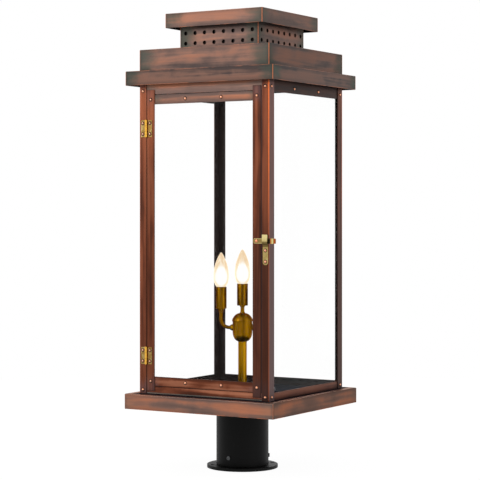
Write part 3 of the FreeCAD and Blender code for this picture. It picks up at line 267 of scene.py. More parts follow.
class Finish(Graph):
    """A material's tree, with the patterns that the finishes share. Its lengths are millimetres."""

    def __init__(self, name):
        self.material = bpy.data.materials.new(name)
        self.material.use_nodes = True
        super().__init__(self.material.node_tree)
        place = self.add("ShaderNodeTexCoord", out=3)
        self.x = self.add("ShaderNodeSeparateXYZ", {0: self.shade(1 / MM, place)})
        self.y, self.z = self.x.out("Y"), self.x.out("Z")

    def noise(self, along, detail=3.0, roughness=0.55, distortion=0.0, shift=0.0):
        """Noise whose grain is this many turns per millimetre, along each axis or along all."""
        a, b, c = along if isinstance(along, tuple) else (along, along, along)
        places = {0: self.x * a + shift, 1: self.y * b + shift, 2: self.z * c}
        sockets = {"Vector": self.add("ShaderNodeCombineXYZ", places), "Scale": 1.0}
        sockets.update({"Detail": detail, "Roughness": roughness, "Distortion": distortion})
        return self.add("ShaderNodeTexNoise", sockets)

    def facing(self):
        """0 where a face looks at the eye, 1 at its outline."""
        return self.add("ShaderNodeLayerWeight", {"Blend": 0.5}, out=1)

    def blend(self, factor, one, two):
        """A colour mixed from one to two."""
        return self.add("ShaderNodeMix", {0: factor, 6: one, 7: two}, out=2, data_type="RGBA")

    def coats(self, tint, *layers):
        """A colour under layers, each given as its share and its own colour."""
        for factor, layer in layers:
            tint = self.blend(factor, tint, layer)
        return tint

    def shade(self, factor, tint):
        """A colour made lighter or darker by a number."""
        return self.add("ShaderNodeVectorMath", {0: tint, "Scale": factor}, operation="SCALE")

    def bump(self, height, depth, strength=0.5, over=None):
        """A normal from a height of 0 to 1 that is this many millimetres deep."""
        sockets = {"Height": height, "Distance": depth * MM, "Strength": strength}
        if over:
            sockets["Normal"] = over
        return self.add("ShaderNodeBump", sockets)

    def shader(self, **sockets):
        named = {key.replace("_", " "): value for key, value in sockets.items()}
        return self.add("ShaderNodeBsdfPrincipled", named)

    def surface(self, **sockets):
        """Ends the tree in one Principled shader and gives the material."""
        return self.end(self.shader(**sockets))

    def metal(self, light, tint, roughness, height, depth=0.04, strength=0.5, **sockets):
        """Ends the tree in a metal, its colour shaded by a light and its face bumped by a height."""
        sockets.update(Base_Color=self.shade(light, tint), Metallic=1.0, Roughness=roughness)
        return self.surface(Normal=self.bump(height, depth, strength), **sockets)

    def mixture(self, factor, one, two):
        """Ends the tree in a mix of two shaders and gives the material."""
        return self.end(self.add("ShaderNodeMixShader", {0: factor, 1: one, 2: two}))

    def end(self, shader):
        self.add("ShaderNodeOutputMaterial", {"Surface": shader})
        return self.material


# --- finishes --------------------------------------------------------------------------------


def box_depths(finish, low, high):
    """Millimetres inward from the sides of a box, along X, Y and Z."""
    middle = (low + high) / 2 / MM
    half = (high - low) / 2 / MM
    places = (finish.x, finish.y, finish.z)
    return [half[axis] - abs(place - middle[axis]) for axis, place in enumerate(places)]


def edge_distances(x, y, z):
    """Millimetres from a box's nearest upright edge and from its nearest level edge."""
    return most(x, y), least(most(x, z), most(y, z))


class AgedCopper(Finish):
    """Brushed aged copper: long soft streaks, grey-green bloom, painted shade along its edges and
    rubbed folds.

    The names below are its look, and aged_copper changes them. Lengths are in millimetres.
    """

    upright = False  # the sheet is drawn along Z
    strip = False  # the redder copper of the frame
    ember = 0.5  # how much of the warm streaks shows
    patina = 0.5  # how much bloom lies on it
    dark = 0.4  # how much of the dark streaks shows
    rub = 0.9  # how bare its corners or its fold are
    hem = 0.45  # how bare its level edges are
    fold = None  # X and Y of a post's outside corner
    # Painted shade: the darkened inner faces begin at this distance.
    skin = 0.0  # how far from the lantern's axis the dark inner faces begin
    # Painted shade: a deck darkens a tray's top within the body and round the frame's foot.
    deck = False  # a tray's top, which is dark within the body
    sink = None  # two heights and a share: between them it fades to its darkest tone
    # On the sill this fade is a painted reflection.
    colour_fade = None  # two heights, a share and the colour that it fades to between them
    # Painted shade: this darkens the whole piece towards the shade tone.
    gloom = 0.0  # darkens the whole piece
    # Painted light: this gives the faces across X a grey cast.
    painted_side_grey = 0.0  # greys the faces across X
    grainy = 1.0  # how much the drawn lines show
    gain = 1.0  # brightens the whole piece
    # Painted light and shade: this makes the faces across X lighter or darker than the rest.
    flanks = 1.0  # brightens the faces across X

    def __init__(self, node, name, look):
        super().__init__(name or f"{node}_copper")
        for key, value in look.items():
            if not hasattr(AgedCopper, key):
                raise KeyError(f"aged copper has no {key}")
            setattr(self, key, value)
        self.tone = bpy.context.scene.lantern_copper
        self.low, self.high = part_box(node)
        self.depths = box_depths(self, self.low, self.high)
        self.corner, self.level = edge_distances(*self.depths)
        self.draw_patterns()

    def draw_patterns(self):
        """Long soft streaks, drawn threads, fine brushing, smudges and specks along the sheet."""
        upright = self.upright
        grain = (0.08, 0.08, 0.004) if upright else (0.0045, 0.0045, 0.05)
        pulled = (0.32, 0.32, 0.006) if upright else (0.007, 0.007, 0.25)
        fine = (1.3, 1.3, 0.02) if upright else (0.02, 0.02, 1.3)
        smear = (0.05, 0.05, 0.012) if upright else (0.022, 0.022, 0.028)
        self.soft = self.noise(grain, 2.0, 0.5, 0.25, 7.0)
        self.thread = self.noise(pulled, 3.0, 0.6, 0.1, 43.0)
        self.brush = self.noise(fine, 3.0, 0.55, shift=31.0)
        self.mottle = self.noise(smear, 4.0, 0.55, 0.4, 19.0)
        self.fleck = self.noise(0.25, 4.0, 0.65, 0.3, 3.0)

    def bloom(self):
        """How much bloom lies on each place: most near the ends."""
        ends = (self.depths[2] if self.upright else self.corner).rise(62.0, 0.0)
        cloud = self.mottle * 0.5 + ends * 0.26 + self.thread * 0.24
        return cloud.rise(0.45, 0.68) * self.patina

    def coated(self, bloom):
        """The sheet's colour before its edges are rubbed."""
        tone, strip, grainy = self.tone, self.strip, self.grainy
        thread, mottle, flank = self.thread, self.mottle, self.depths[0].rise(0.9, 0.5)
        body, deep = (tone.russet, tone.umber) if strip else (tone.brown, tone.dusk)
        streak = self.soft * 0.52 + thread * (0.2 * grainy) + mottle * 0.22 + (0.1 - 0.1 * grainy)
        # Painted shade: the colour darkens towards the edges of each face, over 2.6 mm on the frame's
        # strips and 9 mm elsewhere.
        wide, full = (2.6, 0.6) if strip else (9.0, 0.5)
        edge_shade = least(self.level, self.corner).rise(wide, 0.0) * full * (0.4 + mottle)
        coats = [
            (streak.rise(0.51, 0.36) * self.dark * 2, deep),
            (streak.rise(0.44, 0.58) * self.ember, tone.ember),
            (bloom, tone.slate if strip else tone.patina),
            (edge_shade, deep),
        ]
        if self.sink:
            low, high, share = self.sink
            coats.append((self.z.rise(high, low) * (0.6 + thread) * share, deep))
        if self.colour_fade:
            start, end, share, colour = self.colour_fade
            coats.append((self.z.rise(start, end) * (0.6 + thread * 0.8) * share, colour))
        # Painted grey light on the faces across X.
        if self.painted_side_grey:
            coats.append((flank * self.painted_side_grey, linear(112, 92, 92)))
        lines = self.brush * 0.24 + thread * 0.3 * grainy + self.fleck * 0.06
        # Painted light and shade on the faces across X.
        light = (0.83 - 0.15 * grainy + lines) * (1.0 + flank * (self.flanks - 1.0)) * self.gain
        return self.shade(light, self.coats(body, *coats))

    def worn(self):
        """How far rubbing has bared the corners or the fold, and the level edges."""
        ridge, reach = self.corner, 1.5
        if self.fold:
            ridge, reach = most(abs(self.x - self.fold[0]), abs(self.y - self.fold[1])), 2.5
        worn = ridge.rise(reach, reach * 0.3) * (0.55 + self.fleck * 0.9) * self.rub
        if self.sink:
            worn = worn * self.z.rise(self.sink[0], self.sink[1] + 120.0, 0.22, 1.0)
        hem = self.level.rise(1.2, 0.3) * self.mottle.rise(0.42, 0.56) * self.hem
        return least(most(worn, hem), 1.0)

    def deck_layer(self):
        """Where a tray's top is painted dark, as painted shade within the body and a painted shadow
        round the frame's foot, and its colour there.
        """
        x, y, _ = self.depths
        top = (self.high.z / MM - self.z).rise(0.5, 0.2) * x.rise(11.0, 17.0) * y.rise(5.0, 10.0)
        floor = self.blend(self.mottle, self.tone.shade_tone, linear(56, 60, 76))
        return top, self.shade(0.3 + self.fleck * 0.3, floor)

    def inner_layer(self):
        """Where the inner faces are, under the top sheet, and the mottled dark colour painted on them
        as shade.
        """
        inner = most(abs(self.x), abs(self.y)).rise(self.skin + 0.15, self.skin - 0.15)
        inner = inner * self.z.rise(self.high.z / MM - 0.3, self.high.z / MM - 0.7)
        shaded_inside = self.blend(self.mottle * 0.3, self.tone.shade_tone, self.tone.umber)
        return inner, self.shade(0.7 + self.fleck * 0.7, shaded_inside)

    def finished(self):
        """Ends the tree and gives the material."""
        bloom = self.bloom()
        dull = bloom * 0.5
        bare = self.tone.copper_line if self.strip else self.tone.bare
        tint = self.blend(self.worn(), self.coated(bloom), bare)
        # Painted shade over the whole piece.
        if self.gloom:
            tint = self.blend(self.gloom, tint, self.tone.shade_tone)
        # Painted shade and shadow on the tray's top.
        if self.deck:
            top, floor = self.deck_layer()
            tint, dull = self.blend(top, tint, floor), most(dull, top)
        # Painted shade on the inner faces.
        if self.skin:
            inner, shaded_inside = self.inner_layer()
            tint, dull = self.blend(inner * 0.95, tint, shaded_inside), most(dull, inner * 0.6)
        waves = self.bump(self.soft, 1.2, 0.3)
        return self.surface(
            Base_Color=tint,
            Metallic=1.0 - dull,
            Roughness=least(0.3 + self.brush * 0.12 + dull * 0.5 + self.fleck * 0.06, 0.95),
            Specular_IOR_Level=0.0 if self.deck else 0.1,
            Specular_Tint=(0.8, 0.66, 0.6) if self.deck else (1.0, 1.0, 1.0),
            Normal=self.bump(self.brush * 0.7 + self.fleck * 0.3, 0.04, over=waves),
        )


def aged_copper(node, name=None, **look):
    """The aged copper of a CAD node's piece, with this look."""
    return AgedCopper(node, name, look).finished()


def beside_pins(finish):
    """Millimetres to the left or right of the hinge pins' axis."""
    low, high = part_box("hinge_pins")
    return abs(finish.x - (low.x + high.x) / 2 / MM)


def rivet_ring():
    """Painted shadow: a dark ring round a rivet's head."""
    tone = bpy.context.scene.lantern_copper
    finish = Finish("rivet_ring")
    scuff = finish.noise(1.1, 4.0, 0.6)
    fine = finish.noise(3.5, 2.0, 0.5, shift=5.0)
    tint = finish.shade(0.4 + scuff * 0.6, finish.blend(scuff, linear(46, 42, 46), tone.shade_tone))
    return finish.surface(Base_Color=tint, Metallic=0.3, Roughness=0.6 + fine * 0.2)


def rivet_copper(name="rivet_copper", domed=True):
    """Fresh copper, duller beside the hinges. A domed head has a painted highlight on top and painted
    shade at its foot.

    A domed head carries its height from 0 to 1 in an attribute.
    """
    finish = Finish(name)
    scuff = finish.noise(1.1, 4.0, 0.6)
    fine = finish.noise(3.5, 2.0, 0.5, shift=5.0)
    beside = beside_pins(finish).rise(17.0, 13.0)
    ends = [abs(finish.z - end.z / MM).rise(44.0, 38.0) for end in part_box("hinge_pins")]
    coats = [
        (scuff.rise(0.66, 0.4) * 0.4, bpy.context.scene.lantern_copper.ember),
        (beside * most(*ends) * 0.7, linear(128, 92, 74)),
    ]
    if domed:
        crown = finish.add("ShaderNodeAttribute", out=2, attribute_name="crown")
        # Painted highlight on the crown, painted shade at the foot.
        coats.append((crown.rise(0.86, 1.0) * 0.6, linear(255, 222, 196)))
        coats.append((crown.rise(0.75, 0.12) * 0.85, linear(96, 52, 38)))
    tint = finish.coats(bpy.context.scene.lantern_rivet.pink, *coats)
    return finish.metal(0.82 + fine * 0.3, tint, 0.22 + scuff * 0.2, fine)


def hinge_brass():
    """Olive brass leaves with painted shade where they meet the barrel, which has a painted highlight.
    """
    tone = bpy.context.scene.lantern_brass
    finish = Finish("hinge_brass")
    line = finish.noise((1.6, 1.6, 0.06), 3.0, 0.6)
    cloud = finish.noise(0.14, 4.0, 0.6, 0.8, 11.0)
    nick = finish.noise(0.9, 4.0, 0.6, 0.0, 23.0)
    # Painted highlight on the barrel, which stands out from the leaves.
    barrel_highlight = finish.y.rise(-151.2, -152.2)
    # Painted shade in the gaps where the leaves meet the barrel.
    beside = beside_pins(finish).rise(5.2, 2.4) * (1.0 - barrel_highlight)
    tint = finish.coats(
        tone.hinge,
        (cloud.rise(0.44, 0.66) * 0.5, tone.lip),
        (beside * 0.8, linear(104, 50, 20)),
        (barrel_highlight, tone.barrel),
        (nick.rise(0.58, 0.72) * 0.5, linear(96, 64, 22)),
    )
    roughness = 0.2 + cloud * 0.14 + nick * 0.08
    return finish.metal(0.66 + line * 0.66, tint, roughness, line * 0.6 + nick * 0.4, 0.05, 0.6)


# Painted shade, highlights and reflections along the finger tab: where each band begins, is full, fades
# and ends along X, in millimetres.
TAB_LIGHT_AND_SHADE = (
    (148.8, 150.0, 156.4, 157.8, linear(46, 31, 20)),
    (156.6, 157.6, 159.4, 160.6, linear(206, 132, 66)),
    (159.6, 160.8, 163.4, 164.6, linear(206, 198, 130)),
    (163.4, 164.8, 167.8, 168.4, linear(170, 78, 32)),
)


def latch_brass(middle, half):
    """Olive brass with painted highlights along its rims, and bands of painted shade, highlight and
    reflection along the finger tab.
    """
    tone = bpy.context.scene.lantern_brass
    finish = Finish("latch_brass")
    line = finish.noise((0.05, 1.2, 1.6), 3.0, 0.6)
    cloud = finish.noise((0.12, 0.12, 0.2), 4.0, 0.6, 0.6, 3.0)
    # Painted highlight along the bar's upper and lower rims.
    rim = abs(finish.z - middle / MM).rise(half / MM - 1.9, 5.2)
    coats = [(0.35 + cloud * 0.4, linear(112, 88, 50)), (rim * 0.7, tone.lip)]
    for start, full, fade, end, band in TAB_LIGHT_AND_SHADE:
        coats.append((finish.x.rise(start, full) * finish.x.rise(end, fade) * 0.9, band))
    tint = finish.coats(tone.latch, *coats)
    return finish.metal(0.74 + line * 0.5, tint, 0.22 + cloud * 0.14, line, 0.05)


def keeper_brass():
    """Olive brass with a painted highlight that grows towards its lip, and a painted shadow at its
    shelf.
    """
    tone = bpy.context.scene.lantern_brass
    finish = Finish("keeper_brass")
    line = finish.noise((1.8, 1.8, 0.08), 3.0, 0.6)
    cloud = finish.noise((0.16, 0.16, 0.1), 4.0, 0.6, 0.6, 9.0)
    # Painted shadow of the lip on the shelf.
    under = finish.z.rise(449.5, 452.5) * finish.z.rise(463.0, 459.0)
    tint = finish.coats(
        tone.latch,
        (cloud.rise(0.5, 0.7) * 0.4, tone.lip),
        # Painted highlight growing towards the lip.
        (finish.z.rise(455.0, 471.0), tone.lip),
        (under * 0.8, linear(70, 56, 28)),
    )
    return finish.metal(0.76 + line * 0.46, tint, 0.22 + cloud * 0.14, line, 0.05)


def antique_brass(name, stripes, dark, bright=None, gain=1.0):
    """Dark gold brass, tarnished in clouds and specks and rubbed to gold in upright stripes.

    Bright is two heights: below the first the gold stripes get painted light, which fades out above the
    second.
    """
    tone = bpy.context.scene.lantern_brass
    finish = Finish(name)
    stripe = finish.noise((0.22, 0.22, 0.004), 3.0, 0.55, 0.2)
    cloud = finish.noise((0.05, 0.05, 0.04), 4.0, 0.6, 0.8, 5.0)
    speck = finish.noise((0.8, 0.8, 0.5), 4.0, 0.62, 0.0, 17.0)
    coats = [(cloud.rise(0.6, 0.38) * dark, tone.tarnish)]
    coats.append((stripe.rise(0.48, 0.64) * stripes, tone.glow))
    # Painted light on the underside, where the brass reflects the dark below.
    if bright:
        coats.append((finish.z.rise(bright[1], bright[0]) * stripe * 0.62, tone.glow))
    coats.append((speck.rise(0.6, 0.74) * 0.3, tone.tarnish))
    light, tint = (0.78 + speck * 0.24 + stripe * 0.26) * gain, finish.coats(tone.antique, *coats)
    look = dict(strength=0.4, Specular_Tint=(0.3, 0.18, 0.02))
    return finish.metal(light, tint, 0.24 + cloud * 0.14 + speck * 0.06, speck, **look)


def black_steel():
    """Satin black powder coat with a fine orange peel and a dusty bloom."""
    finish = Finish("satin_black")
    dust = finish.noise((0.02, 0.02, 0.05), 4.0, 0.6, 0.5, 3.0)
    return finish.surface(
        Base_Color=finish.blend(dust.rise(0.42, 0.7) * 0.5, linear(3, 3, 3), linear(10, 9, 9)),
        Roughness=0.4 + dust * 0.16,
        Specular_IOR_Level=0.1,
        Normal=finish.bump(finish.noise(0.9, 2.0, 0.5), 0.06, 0.4),
    )


def blackened_zinc():
    """Blackened zinc plate with its faint crystal spangle."""
    finish = Finish("blackened_zinc")
    vector = finish.add("ShaderNodeCombineXYZ", {0: finish.x, 1: finish.y, 2: finish.z})
    spangle = finish.add("ShaderNodeTexVoronoi", {"Vector": vector, "Scale": 0.7})
    smear = finish.noise(0.4)
    tint = finish.blend(smear, linear(150, 152, 156), linear(196, 197, 198))
    tint = finish.shade(0.14 + spangle * 0.1, tint)
    return finish.surface(Base_Color=tint, Metallic=1.0, Roughness=0.28 + smear * 0.2)


def clear_glass(node):
    """Clear float glass: it mirrors by angle, and a little dust has settled along its edges."""
    finish = Finish(f"{node}_clear")
    corner, level = edge_distances(*box_depths(finish, *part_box(node)))
    dust = finish.noise(0.05, 5.0, 0.65)
    settled = least(corner, level).rise(24.0, 0.0) * dust.rise(0.45, 0.75)
    mirror = finish.shader(Base_Color=linear(246, 250, 249), Metallic=1.0, Roughness=0.03)
    clear = finish.add("ShaderNodeBsdfTransparent", {"Color": (1.0, 1.0, 1.0)})
    factor = finish.facing().rise(0.4, 1.0, 0.003, 0.12) + settled * 0.008
    return finish.mixture(factor, clear, mirror)


def lit_core():
    """The white heart of a lit bulb."""
    lamp = bpy.context.scene.lantern_lamp
    finish = Finish("lit_core")
    flicker = finish.noise((0.12, 0.12, 0.06), 2.0)
    tint = finish.blend(flicker * 0.35, lamp.core, linear(255, 240, 206))
    glow = dict(Emission_Color=tint, Emission_Strength=lamp.strength)
    return finish.surface(Base_Color=(0.0, 0.0, 0.0), Roughness=0.6, **glow)


def lit_envelope():
    """The thin warm glass round the light: white before the light itself, peach towards the tip."""
    lamp = bpy.context.scene.lantern_lamp
    finish = Finish("lit_envelope")
    facing = finish.facing()
    veil = finish.noise((0.3, 0.3, 0.03), 3.0, 0.6)
    middle = most(abs(finish.x), abs(finish.y)).rise(19.5, 17.5)
    mouth = middle * ((MIDDLE_FOOT - SIDE_FOOT) / MM) + (SIDE_FOOT + SLEEVE_TALL) / MM
    height = (finish.z - mouth) / 70.0
    span = height.rise(0.0, 0.2, 0.2, 0.38) * height.rise(0.72, 0.3)
    tint = finish.coats(
        linear(248, 226, 186),
        (height.rise(0.3, 0.75), lamp.tip),
        (veil.rise(0.48, 0.66) * 0.6, linear(255, 246, 224)),
        (facing.rise(0.7, 0.95) * 0.4, linear(252, 238, 204)),
        (height.rise(0.92, 1.0) * 0.6, linear(246, 228, 200)),
        ((facing + veil * 0.12 - span).rise(0.18, -0.08), lamp.core),
    )
    glow = dict(Emission_Color=tint, Emission_Strength=lamp.envelope)
    warm = finish.shader(Base_Color=(0.0, 0.0, 0.0), Roughness=0.1, **glow)
    clear = finish.add("ShaderNodeBsdfTransparent", {"Color": (1.0, 0.985, 0.95)})
    return finish.mixture(facing.rise(0.0, 0.6, 0.88, 0.97), clear, warm)


# --- shapes ----------------------------------------------------------------------------------


def rounded(points, radii, steps=3, closed=True):
    """A flat outline with each corner turned into an arc of its own radius."""
    count = len(points)
    if isinstance(radii, (int, float)):
        radii = [radii] * count
    outline = []
    for index, (point, radius) in enumerate(zip(points, radii)):
        here = Vector(point)
        if radius <= 0 or (not closed and index in (0, count - 1)):
            outline.append(here)
            continue
        one = (Vector(points[index - 1]) - here).normalized()
        two = (Vector(points[(index + 1) % count]) - here).normalized()
        half = one.angle(two) / 2
        centre = here + (one + two).normalized() * (radius / math.sin(half))
        start = here + one * (radius / math.tan(half)) - centre
        end = here + two * (radius / math.tan(half)) - centre
        turn = start.angle_signed(end)
        for step in range(steps + 1):
            outline.append(centre + Matrix.Rotation(-turn * step / steps, 2) @ start)
    return outline


def walk(start, heading, moves, step=6.0):
    """Points of a flat path: straight moves (length,) and turns (radius, degrees), left is more."""
    points = [Vector(start)]
    heading = math.radians(heading)
    for move in moves:
        if len(move) == 1:
            points.append(points[-1] + Vector((math.cos(heading), math.sin(heading))) * move[0])
            continue
        radius, turn = move[0], math.radians(move[1])
        normal = Vector((-math.sin(heading), math.cos(heading))) * math.copysign(1, turn)
        centre = points[-1] + normal * radius
        count = max(2, round(abs(move[1]) / step))
        arm = points[-1] - centre
        points += [centre + Matrix.Rotation(turn * n / count, 2) @ arm for n in range(1, count + 1)]
        heading += turn
    return points


def circle(radius, count, centre=(0, 0)):
    """Flat places evenly round a circle."""
    turns = [2 * math.pi * n / count for n in range(count)]
    return [(centre[0] + radius * math.cos(a), centre[1] + radius * math.sin(a)) for a in turns]


def over(base, *points):
    """A profile in metres from points of (radius, height over the base) in millimetres."""
    return [(radius * MM, base + height * MM) for radius, height in points]


def placed(axis, level, point):
    """A flat point lifted onto an axis."""
    a, b = point
    return {"X": (level, a, b), "Y": (a, level, b), "Z": (a, b, level)}[axis]


def join_rings(form, rings, closed=False):
    """Faces between rings, which may be single tips. A closed row joins its ends, others are capped."""
    count = max(len(ring) for ring in rings)
    for one, two in zip(rings, rings[1:] + (rings[:1] if closed else [])):
        for index in range(count):
            nxt = (index + 1) % count
            corners = [one[index % len(one)], one[nxt % len(one)]]
            corners += [two[nxt % len(two)], two[index % len(two)]]
            form.faces.new(list(dict.fromkeys(corners)))
    for ring in () if closed else (rings[0][::-1], rings[-1]):
        if len(ring) > 2:
            form.faces.new(ring)


def add_prism(form, outline, axis, low, high):
    """A straight solid with this outline between two levels of an axis."""
    join_rings(form, [[form.verts.new(placed(axis, end, p)) for p in outline] for end in (low, high)])


def add_plate(form, low, high, radius, axis="Y"):
    """A flat plate that fills a box, with rounded corners and its faces across an axis."""
    along, across = (0, 1) if axis == "Y" else (1, 0)
    near, far = low[along], high[along]
    outline = [(near, low.z), (far, low.z), (far, high.z), (near, high.z)]
    add_prism(form, rounded(outline, radius, 2), axis, low[across], high[across])


def add_lathe(form, profile, segments=48, centre=(0, 0), turn=None, closed=False):
    """A turning through (radius, height). A radius of 0 is a tip, and a closed profile is a tube."""
    rings = []
    for radius, height in profile:
        places = circle(radius, segments, centre) if radius > 0 else [tuple(centre)]
        rings.append([form.verts.new((*place, height)) for place in places])
    join_rings(form, rings, closed)
    if turn is not None:
        bmesh.ops.transform(form, matrix=turn, verts=[vert for ring in rings for vert in ring])


def add_square_sweep(form, profile, corner, closed=True, steps=4):
    """A profile of (distance from the axis, height) carried round a square with soft corners."""
    widest = max(half for half, _ in profile)
    rings = []
    for half, height in profile:
        radius = max(corner - (widest - half), 0.00008)
        ring = []
        for start in (quarter * QUARTER for quarter in range(4)):
            away = Vector((half - radius, half - radius)) @ Matrix.Rotation(-start, 2)
            for angle in (start + QUARTER * step / steps for step in range(steps + 1)):
                x, y = away.x + radius * math.cos(angle), away.y + radius * math.sin(angle)
                ring.append(form.verts.new((x, y, height)))
        rings.append(ring)
    join_rings(form, rings, closed)


def headings(path):
    """The direction of a path at each of its points."""
    last = len(path) - 1
    ahead = [path[min(n + 1, last)] - path[max(n - 1, 0)] for n in range(last + 1)]
    return [way.normalized() for way in ahead]


def add_tube(form, path, radius, segments):
    """A round bar along points in space."""
    rings = []
    side = None
    for point, ahead in zip(path, headings(path)):
        side = (ahead.orthogonal() if side is None else side - ahead * side.dot(ahead)).normalized()
        other = ahead.cross(side)
        ring = [point + side * a + other * b for a, b in circle(radius, segments)]
        rings.append([form.verts.new(place) for place in ring])
    join_rings(form, rings)


def add_strip(form, path, thick, half_widths, lift):
    """A flat strip bent along a flat path. The lift places (path point, across) in space."""
    rings = []
    for point, ahead, half in zip(path, headings(path), half_widths):
        normal = Vector((-ahead.y, ahead.x)) * thick / 2
        corners = [(point + normal, half), (point + normal, -half), (point - normal, -half)]
        corners.append((point - normal, half))
        rings.append([form.verts.new(lift(place, across)) for place, across in corners])
    join_rings(form, rings)


def eased_widths(path, half, rounds):
    """Half widths along a strip, drawn in to a round start and a round end."""
    run = [0.0]
    for one, two in zip(path, path[1:]):
        run.append(run[-1] + (two - one).length)
    widths = []
    for place in run:
        width = half
        for radius, away in zip(rounds, (place, run[-1] - place)):
            if away < radius:
                bow = math.sqrt(max(radius**2 - (radius - away) ** 2, 0.0))
                width = min(width, half - radius + bow)
        widths.append(max(width, half * 0.12))
    return widths


def with_round_start(path, radius):
    """The path with close stations along its first stretch, for a round end."""
    way = (path[1] - path[0]).normalized()
    shares = (0.0, 0.03, 0.1, 0.22, 0.4, 0.65, 1.0)
    return [path[0] + way * radius * part for part in shares] + path[1:]


def add_bent_strip(form, path, thick, half, rounds, lift):
    """A bent strip of even width, with the radii of its two round ends."""
    path = with_round_start(with_round_start(path, rounds[0])[::-1], rounds[1])[::-1]
    add_strip(form, path, thick, eased_widths(path, half, rounds), lift)


def plain_mesh(thing):
    """Turns the live modifiers into a plain mesh."""
    graph = bpy.context.evaluated_depsgraph_get()
    mesh = bpy.data.meshes.new_from_object(thing.evaluated_get(graph), depsgraph=graph)
    thing.modifiers.clear()
    old, thing.data = thing.data, mesh
    mesh.name = thing.name
    bpy.data.meshes.remove(old)


def bevelled(thing, width, angle):
    """Rounds the hard edges a little and shades the flat faces flat."""
    if width:
        bevel = thing.modifiers.new("edges", "BEVEL")
        bevel.width, bevel.segments = width, 2
        bevel.limit_method, bevel.angle_limit = "ANGLE", math.radians(angle)
        bevel.use_clamp_overlap = True
    thing.modifiers.new("shading", "WEIGHTED_NORMAL").keep_sharp = True
    plain_mesh(thing)


def linked(name, mesh):
    thing = bpy.data.objects.new(name, mesh)
    bpy.context.scene.collection.objects.link(thing)
    return thing


def new_object(name, form):
    """An object from a form, with its faces outward."""
    bmesh.ops.recalc_face_normals(form, faces=form.faces)
    mesh = bpy.data.meshes.new(name)
    form.to_mesh(mesh)
    form.free()
    return linked(name, mesh)


def smoothed(thing, sharp=None):
    """Shades a mesh smooth, apart from its edges over an angle."""
    thing.data.polygons.foreach_set("use_smooth", [True] * len(thing.data.polygons))
    if sharp is not None:
        thing.data.set_sharp_from_angle(angle=math.radians(sharp))


def belongs(thing, body, slot, *nodes):
    """Makes a finished piece ride on its body and hides its CAD nodes."""
    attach(thing, body)
    if nodes:
        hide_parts(*nodes)


def make_piece(name, form, material, body, slot, *nodes, bevel=0.0, angle=35.0, sharp=None):
    """Finishes a form: faces outward, soft or sharp edges, material, body."""
    bmesh.ops.remove_doubles(form, verts=form.verts, dist=1e-7)
    thing = new_object(name, form)
    thing.data.materials.append(material)
    smoothed(thing, sharp)
    if sharp is None:
        bevelled(thing, bevel, angle)
    belongs(thing, body, slot, *nodes)


def merged_copy(node, flat=0.0):
    """The CAD node's shape as one connected form, without edges flatter than an angle."""
    form = bmesh.new()
    form.from_mesh(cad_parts[node].data)
    bmesh.ops.remove_doubles(form, verts=form.verts, dist=2e-6)
    if flat:
        parts = dict(verts=form.verts, edges=form.edges)
        bmesh.ops.dissolve_limit(form, angle_limit=math.radians(flat), **parts)
    return form


def islands(node):
    """The lowest and highest corner of each separate solid in a CAD node."""
    form = merged_copy(node)
    seen, boxes = set(), []
    for start in form.verts:
        if start in seen:
            continue
        todo, found = [start], []
        seen.add(start)
        while todo:
            vert = todo.pop()
            found.append(vert.co.copy())
            near = {edge.other_vert(vert) for edge in vert.link_edges} - seen
            seen |= near
            todo += near
        boxes.append([Vector([pick(row) for row in zip(*found)]) for pick in (min, max)])
    form.free()
    return boxes


# --- repeated pieces by geometry nodes -------------------------------------------------------


def new_tree(name, numbers, counts, materials):
    """A geometry tree with its named inputs. Gives the geometry that comes in."""
    tree = bpy.data.node_groups.new(name, "GeometryNodeTree")
    tree.interface.new_socket("Geometry", in_out="INPUT", socket_type="NodeSocketGeometry")
    for labels, kind in ((numbers, "Float"), (counts, "Int"), (materials, "Material")):
        for label in labels:
            tree.interface.new_socket(label, in_out="INPUT", socket_type=f"NodeSocket{kind}")
    tree.interface.new_socket("Geometry", in_out="OUTPUT", socket_type="NodeSocketGeometry")
    return Graph(tree).add("NodeGroupInput")


def realized(geometry):
    return geometry.graph.add("GeometryNodeRealizeInstances", {0: geometry})


def end_tree(geometry):
    """Ends a tree in plain geometry and gives the tree."""
    geometry.graph.add("NodeGroupOutput", {"Geometry": realized(geometry)})
    return geometry.graph.tree


def join(*parts):
    """Several geometries as one."""
    graph = parts[0].graph
    joined = graph.add("GeometryNodeJoinGeometry")
    for part in reversed(parts):
        graph.tree.links.new(part.socket, joined.socket.node.inputs[0])
    return joined


def moved(geometry, depth=0.0, height=0.0, turn=(0.0, 0.0, 0.0)):
    """The geometry turned, then shifted along Y and Z."""
    offset = geometry.graph.add("ShaderNodeCombineXYZ", {1: depth, 2: height})
    sockets = {"Geometry": geometry, "Rotation": turn, "Translation": offset}
    return geometry.graph.add("GeometryNodeTransform", sockets)


def painted(geometry, material):
    return geometry.graph.add("GeometryNodeSetMaterial", {"Geometry": geometry, "Material": material})


def cut(solid, tool):
    sockets = {"Mesh 1": solid, "Mesh 2": tool}
    return solid.graph.add("GeometryNodeMeshBoolean", sockets, operation="DIFFERENCE")


def cylinder(sides, diameter, depth, share=0.5):
    """A cylinder whose radius is a share of a diameter."""
    sockets = {"Vertices": sides, "Radius": diameter * share, "Depth": depth}
    return diameter.graph.add("GeometryNodeMeshCylinder", sockets)


def stood_on_seats(points, master):
    """The master on every seat, its own Z along the seat's direction."""
    graph, kind = points.graph, "FLOAT_VECTOR"
    facing = graph.add("GeometryNodeInputNamedAttribute", {"Name": "facing"}, data_type=kind)
    turned = graph.add("FunctionNodeAlignRotationToVector", {"Vector": facing}, axis="Z")
    sockets = {"Points": points, "Instance": master, "Rotation": turned}
    return graph.add("GeometryNodeInstanceOnPoints", sockets)


